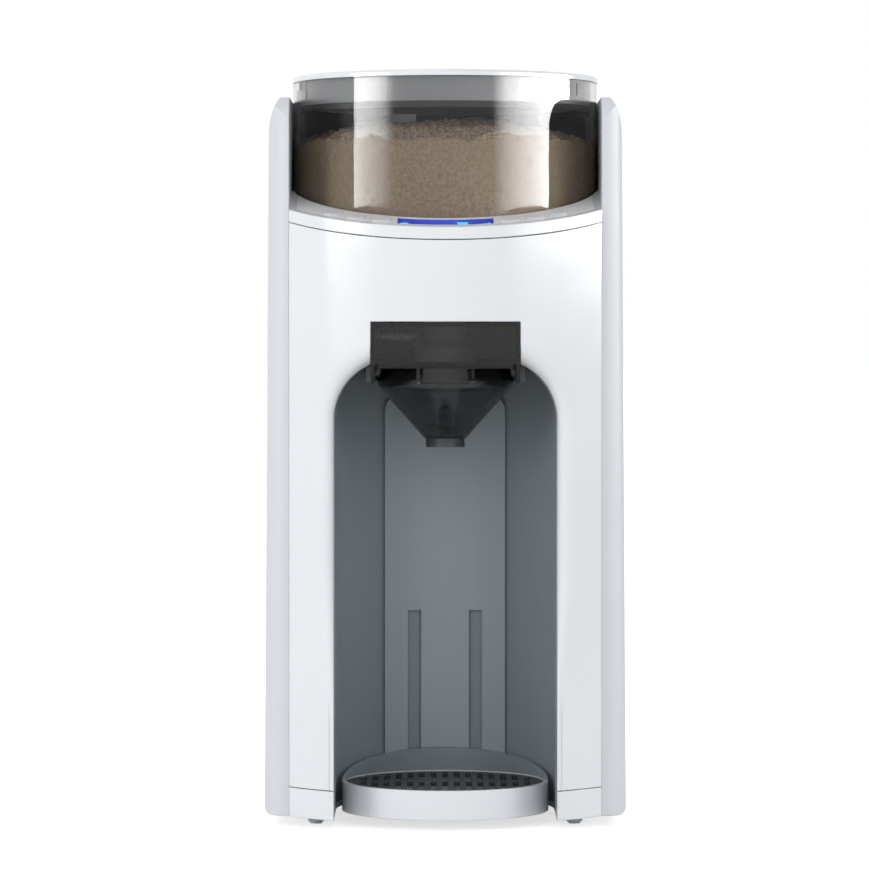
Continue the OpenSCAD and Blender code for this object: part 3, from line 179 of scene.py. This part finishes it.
def plastic(name, colour, rough, spread, grain, depth, coat=0.0, edge=0.0006, gloss_spread=0.05):
    """Moulded plastic: a slightly uneven colour and gloss over a fine moulded grain."""
    made = Shader(name)
    cloud = made.noise(14, 3)
    shade = made.blend(made.span(cloud, 0, 1), tone(colour, 1 - spread), tone(colour, 1 + spread / 2))
    made.link(shade, made.main.inputs["Base Color"])
    gloss = made.span(made.noise(60, 4), rough - gloss_spread, rough + gloss_spread)
    made.link(gloss, made.main.inputs["Roughness"])
    made.relief(made.noise(grain, 2), depth, edge)
    made.set(Coat_Weight=coat, Coat_Roughness=0.06)
    return made


def metal(name, colour, rough=0.3, grain=1500, depth=0.000008, brushed=(1, 1, 1)):
    """Metal or metal paint, brushed along the axis whose scale is small."""
    made = Shader(name)
    stretch = made.add("ShaderNodeMapping", vector_type="POINT", Scale=brushed)
    made.link(made.place, stretch.inputs["Vector"])
    made.place = stretch.outputs["Vector"]
    streak = made.noise(grain, 3)
    shade = made.blend(made.span(streak, 0, 1), tone(colour, 0.93), tone(colour, 1.04))
    made.link(shade, made.main.inputs["Base Color"])
    made.link(made.span(streak, rough - 0.05, rough + 0.08), made.main.inputs["Roughness"])
    made.relief(streak, depth, 0.0003)
    made.set(Metallic=1.0)
    return made


def clear(name, tint, density, rough=0.02, ripple=0.000006, ior=1.49):
    """Clear plastic whose tint deepens with its thickness, with faint ripples from the mould."""
    made = Shader(name)
    made.set(Transmission_Weight=1.0, IOR=ior, Base_Color=(1, 1, 1, 1))
    gloss = made.span(made.noise(45, 4), max(0.0, rough - 0.02), rough + 0.03)
    made.link(gloss, made.main.inputs["Roughness"])
    made.relief(made.noise(70, 2), ripple)
    absorb = made.add("ShaderNodeVolumeAbsorption", Color=tint, Density=density)
    made.link(absorb.outputs["Volume"], made.output.inputs["Volume"])
    return made


def dock_material():
    """The funnel's dock: grey, with painted shade on the slides that reach below the bay's top, which are
    coloured dark in place of their shadow.
    """
    made = Shader("dock")
    above = made.span(made.along("Z"), 0, 1, DOCK_SLIDE_TOP - DOCK_BLEND, DOCK_SLIDE_TOP + DOCK_BLEND)
    pale = made.blend(made.span(made.noise(14, 3), 0, 1), srgb(146, 154, 160), srgb(156, 164, 170))
    # Painted shade: the slides below the bay's top get a dark grey that stands in for the shadow they sit
    # in.
    dark = made.blend(made.span(made.noise(14, 3), 0, 1), srgb(58, 62, 66), srgb(66, 70, 74))
    made.link(made.blend(above, dark, pale), made.main.inputs["Base Color"])
    made.link(made.span(made.noise(60, 4), 0.38, 0.47), made.main.inputs["Roughness"])
    made.relief(made.noise(1200, 2), 0.00003, 0.0005)
    return made


def powder_material():
    """Milk powder: matt and grainy, plain against the wall and crumbly on top."""
    made = Shader("powder")
    clump = made.noise(520, 6, 0.75)
    cloud = made.noise(30, 3)
    grains = made.blend(made.span(clump, 0, 1, 0.38, 0.62), srgb(130, 115, 95), srgb(162, 147, 127))
    soft = made.blend(made.span(cloud, 0, 0.75), grains, srgb(146, 131, 111))
    crumb = made.span(made.noise(900, 3, 0.8), 0, 1, 0.4, 0.6)
    crumbs = made.blend(crumb, srgb(84, 72, 58), srgb(178, 161, 137))
    above = made.span(made.along("Z"), 0, 0.8, POWDER_RIM - CRUMBS_BELOW, POWDER_RIM + CRUMBS_ABOVE)
    made.link(made.blend(above, soft, crumbs), made.main.inputs["Base Color"])
    made.set(Roughness=0.92, Specular_IOR_Level=0.2)
    made.relief(clump, 0.0005)
    return made


def display_material():
    """The lit window: blue, brighter in the middle, under a slightly uneven gloss."""
    made = Shader("display")
    away = made.add("ShaderNodeMath", operation="ABSOLUTE")
    made.link(made.along("X"), away.inputs[0])
    outer = made.span(away.outputs["Value"], 0, 1, 0.004, 0.024)
    glow = made.blend(outer, srgb(20, 78, 236), srgb(16, 44, 184))
    made.link(glow, made.main.inputs["Emission Color"])
    made.link(made.span(made.noise(2500, 1), 0.12, 0.2), made.main.inputs["Roughness"])
    made.set(Base_Color=srgb(8, 14, 60), Emission_Strength=0.64, Specular_IOR_Level=0.25)
    return made


def frosted_material():
    """The lid's skirt: milky grey plastic with a satin gloss."""
    made = Shader("frosted_skirt")
    streak = made.noise(25, 3)
    shade = made.blend(made.span(streak, 0, 1), srgb(120, 121, 123), srgb(138, 139, 141))
    made.link(shade, made.main.inputs["Base Color"])
    made.link(made.span(made.noise(90, 3), 0.3, 0.34), made.main.inputs["Roughness"])
    made.relief(made.noise(1200, 2), 0.00001, 0.0004)
    return made


def build_materials():
    white = srgb(240, 243, 247)
    made = {
        "white_gloss": plastic(
            "white_gloss", white, 0.14, 0.015, 700, 0.000006, coat=0.1, edge=0.0008, gloss_spread=0.015
        ),
        "white_matte": plastic("white_matte", srgb(226, 229, 232), 0.42, 0.02, 1100, 0.00002, edge=0.0007),
        "button_white": plastic("button_white", srgb(226, 229, 233), 0.35, 0.02, 1000, 0.00001, edge=0.0004),
        "grey_liner": plastic("grey_liner", srgb(152, 160, 166), 0.42, 0.05, 1200, 0.00003, edge=0.0005),
        "grey_track": plastic("grey_track", srgb(178, 187, 192), 0.4, 0.04, 1200, 0.00003, edge=0.0005),
        "silver_panel": plastic("silver_panel", srgb(234, 235, 238), 0.45, 0.02, 1600, 0.000006),
        "dusted": plastic("dusted", srgb(214, 198, 172), 0.8, 0.08, 900, 0.00006),
        "dark_plastic": plastic("dark_plastic", srgb(44, 46, 49), 0.5, 0.08, 900, 0.00004),
        "board_green": plastic("board_green", srgb(28, 92, 60), 0.45, 0.15, 500, 0.00003),
        "rubber_black": plastic("rubber_black", srgb(40, 41, 43), 0.6, 0.1, 1300, 0.00005),
        "rubber_grey": plastic("rubber_grey", srgb(222, 224, 226), 0.6, 0.06, 1300, 0.00005),
        "acetal": plastic("acetal", srgb(236, 232, 220), 0.4, 0.03, 900, 0.00002),
        "silicone": plastic("silicone", srgb(196, 200, 202), 0.5, 0.04, 700, 0.00003),
        "grille_grey": plastic("grille_grey", srgb(58, 63, 68), 0.4, 0.08, 1000, 0.00003, edge=0.0003),
        "float_orange": plastic("float_orange", srgb(226, 112, 40), 0.45, 0.05, 900, 0.00003),
        "brass_part": metal("brass_part", srgb(206, 170, 96), 0.32),
        "steel": metal("steel", srgb(188, 190, 193), 0.3, 1500, 0.000008, (1, 1, 0.1)),
        "black_steel": metal("black_steel", srgb(40, 40, 42), 0.35),
        "spout_steel": metal("spout_steel", srgb(196, 198, 200), 0.25),
        "smoky_clear": clear("smoky_clear", srgb(70, 68, 66), 620, 0.03),
        "smoky_funnel": clear("smoky_funnel", srgb(92, 90, 88), 340, 0.05),
        # Painted shade: the side panels are the front's white plastic, made greyer here so that they look
        # shaded.
        "shaded_panel_white": plastic(
            "shaded_panel_white", srgb(222, 225, 230), 0.42, 0.01, 700, 0.000004, edge=0.0008, gloss_spread=0.015
        ),
        "clear_tank": clear("clear_tank", srgb(128, 124, 118), 30, 0.02, ior=1.3),
        "dock": dock_material(),
        "water_clear": clear("water_clear", srgb(190, 200, 206), 120, 0.04),
        "frosted_skirt": frosted_material(),
        "display": display_material(),
        "powder": powder_material(),
    }
    made["shaded_panel_white"].set(Specular_IOR_Level=0.2)
    return {slot: shader.material for slot, shader in made.items()}


materials = build_materials()


def dress(obj, material):
    obj.data.materials.clear()
    obj.data.materials.append(material)


def dress_frame():
    """Gives each CAD node the finish that its slot in the record names, then other finishes to the wiper,
    the funnel, the dock and the side panels, whose greyer white is painted shade.
    """
    for row in frame["record"]["subparts"]:
        dress(nodes[row["node"]], materials[row["material_slot"]])
    dress(nodes["powder_wiper"], materials["dusted"])
    dress(nodes["mixing_funnel"], materials["smoky_funnel"])
    dress(nodes["funnel_dock"], materials["dock"])
    # The side panels get the greyer white, which is painted shade.
    for side in ("left", "right"):
        dress(nodes[side + "_side_panel"], materials["shaded_panel_white"])


dress_frame()


# ---- Pieces made here ----


def piece(name, mesh_data, body, material, smooth_angle=30):
    mesh = bpy.data.meshes.new(name)
    mesh_data.to_mesh(mesh)
    mesh_data.free()
    mesh.shade_smooth()
    mesh.set_sharp_from_angle(angle=math.radians(smooth_angle))
    obj = bpy.data.objects.new(name, mesh)
    scene.collection.objects.link(obj)
    dress(obj, material)
    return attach(obj, body)


def front_face(x):
    """Where the curved front stands at a distance from the middle."""
    return TANK_Y - math.sqrt(FASCIA_R**2 - x * x)


def lip_face(x):
    """Where the grey liner starts behind the rolled edge."""
    return TANK_Y - math.sqrt(LIP_R**2 - x * x)


def seam_height(x):
    """The seam below the deck's rim, on the front's curve."""
    return DECK_AXIS_Z - BEZEL_H - SEAM_GAP + math.tan(DECK_SLOPE) * (front_face(x) - TANK_Y)


def roll_radius(z):
    """The bay's edge is sharp at the foot and softly rolled higher up."""
    share = min(1.0, max(0.0, (z - ROLL_FOOT) / ROLL_RISE))
    share = share * share * (3 - 2 * share)
    return ROLL_SHARP + share * ROLL_SOFT


LIP_STEPS = 3
ROLL_STEPS = 12
FACE_STEPS = 14
PILLAR_STEPS = 60
CORNER_STEPS = 48
BROW_STEPS = 24
BROW_HALF_STEPS = 30
RETURN_STEPS = 8
RETURN_ROWS = 40
FILLET_REACH = 0.010
ROLL_FOOT = 0.055
ROLL_RISE = 0.085
ROLL_SHARP = 0.0012
ROLL_SOFT = 0.0088
PANEL_CLEAR = 0.0001


def edge_profile(x_edge, reach, radius):
    """Rows of (distance from the bay's edge, depth behind the front face) from the liner out to reach."""
    deep = lip_face(x_edge) - front_face(x_edge)
    rows = [(0.0, deep + (radius - deep) * k / LIP_STEPS) for k in range(LIP_STEPS)]
    for k in range(ROLL_STEPS + 1):
        turn = math.pi / 2 * k / ROLL_STEPS
        rows.append((radius * (1 - math.cos(turn)), radius * (1 - math.sin(turn))))
    start = rows[-1][0]
    for k in range(1, FACE_STEPS + 1):
        rows.append((start + (reach - start) * k / FACE_STEPS, 0.0))
    return rows


def fascia_grid(bm, columns):
    """Joins columns of points, each listed in the same order, with quads."""
    rings = [[bm.verts.new(point) for point in column] for column in columns]
    for left, right in zip(rings, rings[1:]):
        for k in range(len(left) - 1):
            bm.faces.new((left[k], right[k], right[k + 1], left[k + 1]))


def pillar_columns():
    """The right pillar beside the bay's straight side, then its return along the side panel."""
    columns = []
    low, high = SKIRT_TOP + SEAM_GAP, BAY_TOP - BAY_CORNER
    for k in range(PILLAR_STEPS + 1):
        z = low + (high - low) * k / PILLAR_STEPS
        rows = edge_profile(BAY_HALF, PANEL_IN - BAY_HALF, roll_radius(z))
        column = [(BAY_HALF + out, front_face(BAY_HALF + out) + depth, z) for out, depth in rows]
        columns.append(column)
    return columns


def corner_columns():
    """The right upper corner of the bay, from the cover's cut round to the straight side."""
    centre_x, centre_z = BAY_HALF - BAY_CORNER, BAY_TOP - BAY_CORNER
    top_run = PANEL_IN - CUT_HALF
    side_run = CUT_TOP - centre_z
    columns = []
    for i in range(CORNER_STEPS + 1):
        share = i / CORNER_STEPS
        column = []
        for out, depth in edge_profile(BAY_HALF, FILLET_REACH, FILLET_REACH)[: LIP_STEPS + ROLL_STEPS + 1]:
            reach = BAY_CORNER + out
            start = math.acos((CUT_HALF - centre_x) / reach)
            turn = start * (1 - share)
            x = centre_x + reach * math.cos(turn)
            column.append((x, front_face(x) + depth, centre_z + reach * math.sin(turn)))
        if share <= 0.5:
            far = (CUT_HALF + 2 * share * top_run, CUT_TOP)
        else:
            far = (PANEL_IN, CUT_TOP - (2 * share - 1) * side_run)
        near = (column[-1][0], column[-1][2])
        for k in range(1, FACE_STEPS + 1):
            x = near[0] + (far[0] - near[0]) * k / FACE_STEPS
            z = near[1] + (far[1] - near[1]) * k / FACE_STEPS
            column.append((x, front_face(x), z))
        columns.append(column)
    return columns


def brow_columns():
    """The band above the cover's cut, up to the seam below the deck's rim."""
    shared = [column[-1][0] for column in corner_columns() if column[-1][2] > CUT_TOP - 0.00001]
    middle = [CUT_HALF * (i / BROW_HALF_STEPS - 1) for i in range(1, 2 * BROW_HALF_STEPS)]
    places = [-x for x in reversed(shared)] + middle + shared
    columns = []
    for x in places:
        top = seam_height(x)
        rise = (top - CUT_TOP) / BROW_STEPS
        columns.append([(x, front_face(x), CUT_TOP + rise * k) for k in range(BROW_STEPS + 1)])
    return columns


def return_columns():
    """The short walls that run back beside the side panels."""
    low = SKIRT_TOP + SEAM_GAP
    columns = []
    for k in range(RETURN_STEPS + 1):
        share = k / RETURN_STEPS
        y = front_face(PANEL_IN) + (RETURN_Y - front_face(PANEL_IN)) * share
        top = DECK_AXIS_Z - BEZEL_H - SEAM_GAP + math.tan(DECK_SLOPE) * (y - TANK_Y)
        rise = (top - low) / RETURN_ROWS
        columns.append([(PANEL_IN - PANEL_CLEAR, y, low + rise * j) for j in range(RETURN_ROWS + 1)])
    return columns


def mirrored(columns):
    return [[(-x, y, z) for x, y, z in column] for column in reversed(columns)]


def thicken(bm, wall):
    """Gives an open skin a wall: a second skin behind it, and a rim that joins the two."""
    bm.normal_update()
    behind = {vert: bm.verts.new(vert.co - vert.normal * wall) for vert in list(bm.verts)}
    rim = [edge for edge in bm.edges if edge.is_boundary]
    for face in list(bm.faces):
        bm.faces.new([behind[vert] for vert in reversed(face.verts)])
    for edge in rim:
        loop = edge.link_loops[0]
        first, second = loop.vert, loop.link_loop_next.vert
        bm.faces.new((second, first, behind[first], behind[second]))


def build_fascia():
    bm = bmesh.new()
    for columns in (pillar_columns(), corner_columns(), return_columns()):
        fascia_grid(bm, columns)
        fascia_grid(bm, mirrored(columns))
    fascia_grid(bm, brow_columns())
    bmesh.ops.remove_doubles(bm, verts=bm.verts, dist=0.00002)
    bmesh.ops.recalc_face_normals(bm, faces=bm.faces)
    seen = max(bm.faces, key=lambda face: -face.calc_center_median().y)
    if seen.normal.y > 0:
        bmesh.ops.reverse_faces(bm, faces=bm.faces)
    thicken(bm, FASCIA_WALL)
    fascia = piece("fascia_skin", bm, "housing", materials["white_gloss"])
    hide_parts("front_fascia")


build_fascia()


def powder_height(x, y):
    """The heap's surface: low at the wall, mounded in the middle and lumpy all over."""
    away = math.hypot(x, y) / POWDER_R
    mound = POWDER_RIM + POWDER_MOUND * (1 - away**3)
    hill = HILL_DEPTH * noise.noise(Vector((x * 26, y * 26, 3.1)))
    clump = CLUMP_DEPTH * noise.noise(Vector((x * 120, y * 120, 7.7)))
    grain = GRAIN_DEPTH * abs(noise.noise(Vector((x * 430, y * 430, 1.3))))
    return mound + hill + clump + grain


def powder_ring(bm, radius, height):
    """Points in a ring round the tank's axis; height gives z from x and y, both from that axis."""
    ring = []
    for k in range(POWDER_SEGMENTS):
        turn = 2 * math.pi * k / POWDER_SEGMENTS
        x, y = radius * math.cos(turn), radius * math.sin(turn)
        ring.append(bm.verts.new((x, TANK_Y + y, height(x, y))))
    return ring


def build_powder():
    """The heap: its lumpy top, its side at the tank's wall, and its foot round the measuring wheel."""
    bm = bmesh.new()
    centre = bm.verts.new((0, TANK_Y, powder_height(0, 0)))
    loops = [powder_ring(bm, POWDER_R * (i + 1) / POWDER_RINGS, powder_height) for i in range(POWDER_RINGS)]
    edge = loops[-1]
    for drop in POWDER_WALL_SHARES:
        loop = []
        for vert in edge:
            z = vert.co.z + (POWDER_FOOT - vert.co.z) * drop
            loop.append(bm.verts.new((vert.co.x, vert.co.y, z)))
        loops.append(loop)
    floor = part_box("powder_tank")[0][2] + TANK_FLOOR
    loops.append(powder_ring(bm, POWDER_R, lambda x, y: floor))
    loops.append(powder_ring(bm, WHEEL_RING_R, lambda x, y: floor))
    loops.append(powder_ring(bm, WHEEL_RING_R, lambda x, y: POWDER_FOOT))
    for k in range(POWDER_SEGMENTS):
        bm.faces.new((centre, loops[0][k], loops[0][(k + 1) % POWDER_SEGMENTS]))
    for inner, outer in zip(loops, loops[1:]):
        for k in range(POWDER_SEGMENTS):
            after = (k + 1) % POWDER_SEGMENTS
            bm.faces.new((inner[k], outer[k], outer[after], inner[after]))
    bm.faces.new(reversed(loops[-1]))
    heap = piece("powder_heap", bm, "powder_tank", materials["powder"], 60)
    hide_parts("formula_powder")


build_powder()


TICK_TURN = math.radians(58.5)
TICK_WIDTH = 0.0009
TICK_PROUD = 0.00005
TICK_SUNK = 0.0002
TICK_STEPS = 4
TICK_Z = (0.3715, 0.3775)


def build_tick():
    """The short upright mark on the tank's wall that the lid is turned to."""
    bm = bmesh.new()
    rings = []
    for k in range(TICK_STEPS + 1):
        turn = TICK_TURN + TICK_WIDTH / TANK_R * (k / TICK_STEPS - 0.5)
        ring = []
        for radius, z in (
            (TANK_R - TICK_SUNK, TICK_Z[0]),
            (TANK_R + TICK_PROUD, TICK_Z[0]),
            (TANK_R + TICK_PROUD, TICK_Z[1]),
            (TANK_R - TICK_SUNK, TICK_Z[1]),
        ):
            ring.append(bm.verts.new((radius * math.sin(turn), TANK_Y - radius * math.cos(turn), z)))
        rings.append(ring)
    for left, right in zip(rings, rings[1:]):
        for k in range(4):
            bm.faces.new((left[k], right[k], right[(k + 1) % 4], left[(k + 1) % 4]))
    bm.faces.new(rings[0])
    bm.faces.new(reversed(rings[-1]))
    bmesh.ops.recalc_face_normals(bm, faces=bm.faces)
    tick = piece("index_tick", bm, "powder_tank", materials["dark_plastic"])


build_tick()


SIGN_SUNK = 0.00018


def deck_height(y):
    """The deck's plane, y being measured from the tank's axis."""
    return DECK_AXIS_Z + math.tan(DECK_SLOPE) * y


def glyph(name, outlines, material):
    """Flat generic signs on the display's window, which lies just below the deck's plane."""
    bm = bmesh.new()
    for outline in outlines:
        verts = []
        for x, y in outline:
            verts.append(bm.verts.new((x, TANK_Y + y, deck_height(y) - SIGN_SUNK)))
        bm.faces.new(verts)
    bmesh.ops.recalc_face_normals(bm, faces=bm.faces)
    for face in bm.faces:
        if face.normal.z < 0:
            face.normal_flip()
    return piece(name, bm, "housing", material)


def bar(x, y, width, depth):
    return [(x, y), (x + width, y), (x + width, y + depth), (x, y + depth)]


def oval(x, y, half_x, half_y, count=24):
    turns = [2 * math.pi * k / count for k in range(count)]
    return [(x + half_x * math.cos(turn), y + half_y * math.sin(turn)) for turn in turns]


def build_signs():
    cyan = Shader("display_sign")
    glow = cyan.blend(cyan.span(cyan.noise(900, 1), 0, 1), srgb(60, 190, 230), srgb(96, 214, 240))
    cyan.link(glow, cyan.main.inputs["Emission Color"])
    cyan.set(Base_Color=srgb(40, 140, 190), Emission_Strength=0.9, Roughness=0.4)
    drop = oval(-0.0205, -0.0915, 0.0022, 0.0022)
    cup = [(0.0062, -0.0935), (0.0108, -0.0935), (0.0114, -0.0885), (0.0056, -0.0885)]
    level = [bar(0.0165 + 0.0016 * k, -0.0935 + 0.0002 * k, 0.0009, 0.0012 + 0.0008 * k) for k in range(4)]
    signs = glyph("display_signs", [drop, cup] + level, cyan.material)


build_signs()


# ---- Stage ----

WORLD_LEVEL = 0.70
FLOOR_LIFT = 0.66
FLOOR_RADIUS = 30
LIGHT_TARGET = Vector((0, TANK_Y, 0.2))
CAMERA_PLACE = (-0.0055, -2.265, 0.250)
CAMERA_DIP = math.radians(1.36)
CAMERA_LENS = 175.4


def build_world():
    world = bpy.data.worlds.new("studio")
    scene.world = world
    world.use_nodes = True
    tree = world.node_tree
    back = tree.nodes["Background"]
    back.inputs["Color"].default_value = (1, 1, 1, 1)
    path = tree.nodes.new("ShaderNodeLightPath")
    seen = path.outputs["Is Camera Ray"]
    for name in ("Is Glossy Ray", "Is Transmission Ray"):
        joined = tree.nodes.new("ShaderNodeMath")
        joined.operation = "MAXIMUM"
        tree.links.new(seen, joined.inputs[0])
        tree.links.new(path.outputs[name], joined.inputs[1])
        seen = joined.outputs["Value"]
    level = tree.nodes.new("ShaderNodeMapRange")
    level.inputs["To Min"].default_value = WORLD_LEVEL
    level.inputs["To Max"].default_value = 1.0
    tree.links.new(seen, level.inputs["Value"])
    tree.links.new(level.outputs["Result"], back.inputs["Strength"])


def build_floor():
    bm = bmesh.new()
    bmesh.ops.create_circle(bm, cap_ends=True, segments=96, radius=FLOOR_RADIUS)
    mesh = bpy.data.meshes.new("floor")
    bm.to_mesh(mesh)
    bm.free()
    floor = bpy.data.objects.new("floor", mesh)
    scene.collection.objects.link(floor)
    made = Shader("floor")
    shade = made.blend(made.span(made.noise(3, 3), 0, 1), srgb(240, 240, 240), srgb(244, 244, 244))
    made.link(shade, made.main.inputs["Base Color"])
    made.set(Roughness=0.8, Specular_IOR_Level=0.1, Emission_Color=(1, 1, 1, 1))
    path = made.add("ShaderNodeLightPath")
    lift = made.span(path.outputs["Is Camera Ray"], 0, FLOOR_LIFT, 0, 1)
    made.link(lift, made.main.inputs["Emission Strength"])
    dress(floor, made.material)


def softbox(name, azimuth, distance, height, width, tall, power, fade=None, lights=True, shines=True):
    """An area light that stands round the object and faces it; fade is the power's share at each side.

    lights says whether it lights matt surfaces, and shines whether it shows in gloss.
    """
    turn = math.radians(azimuth)
    data = bpy.data.lights.new(name, "AREA")
    data.shape = "RECTANGLE"
    data.size = width
    data.size_y = tall
    data.energy = power
    light = bpy.data.objects.new(name, data)
    scene.collection.objects.link(light)
    light.location = (distance * math.sin(turn), TANK_Y - distance * math.cos(turn), height)
    light.rotation_euler = (LIGHT_TARGET - light.location).to_track_quat("-Z", "Y").to_euler()
    light.visible_camera = False
    light.visible_diffuse = lights
    light.visible_glossy = shines
    if fade is not None:
        data.use_nodes = True
        tree = data.node_tree
        glow = tree.nodes["Emission"]
        where = tree.nodes.new("ShaderNodeNewGeometry")
        split = tree.nodes.new("ShaderNodeSeparateXYZ")
        ramp = tree.nodes.new("ShaderNodeMapRange")
        ramp.inputs["To Min"].default_value = fade[0]
        ramp.inputs["To Max"].default_value = fade[1]
        tree.links.new(where.outputs["Parametric"], split.inputs["Vector"])
        tree.links.new(split.outputs["X"], ramp.inputs["Value"])
        tree.links.new(ramp.outputs["Result"], glow.inputs["Strength"])


def build_lights():
    softbox("front_key", -10, 2.6, 1.3, 1.8, 1.2, 4)
    softbox("left_fill", -56, 2.0, 0.40, 0.8, 1.0, 9, shines=False)
    softbox("right_fill", 56, 2.0, 0.40, 0.8, 1.0, 4.5, shines=False)
    softbox("left_card", -55, 1.6, 0.455, 0.95, 0.19, 15, fade=(1.0, 0.0), lights=False)
    softbox("right_card", 71, 1.6, 0.455, 2.25, 0.19, 85, fade=(0.0, 1.0), lights=False)


def build_camera():
    data = bpy.data.cameras.new("camera")
    data.sensor_width = 36
    data.lens = CAMERA_LENS
    data.clip_end = 60
    camera = bpy.data.objects.new("camera", data)
    scene.collection.objects.link(camera)
    camera.location = CAMERA_PLACE
    camera.rotation_euler = (math.pi / 2 - CAMERA_DIP, 0, 0)
    scene.camera = camera


build_world()
build_floor()
build_lights()
build_camera()
scene.view_settings.view_transform = "Standard"
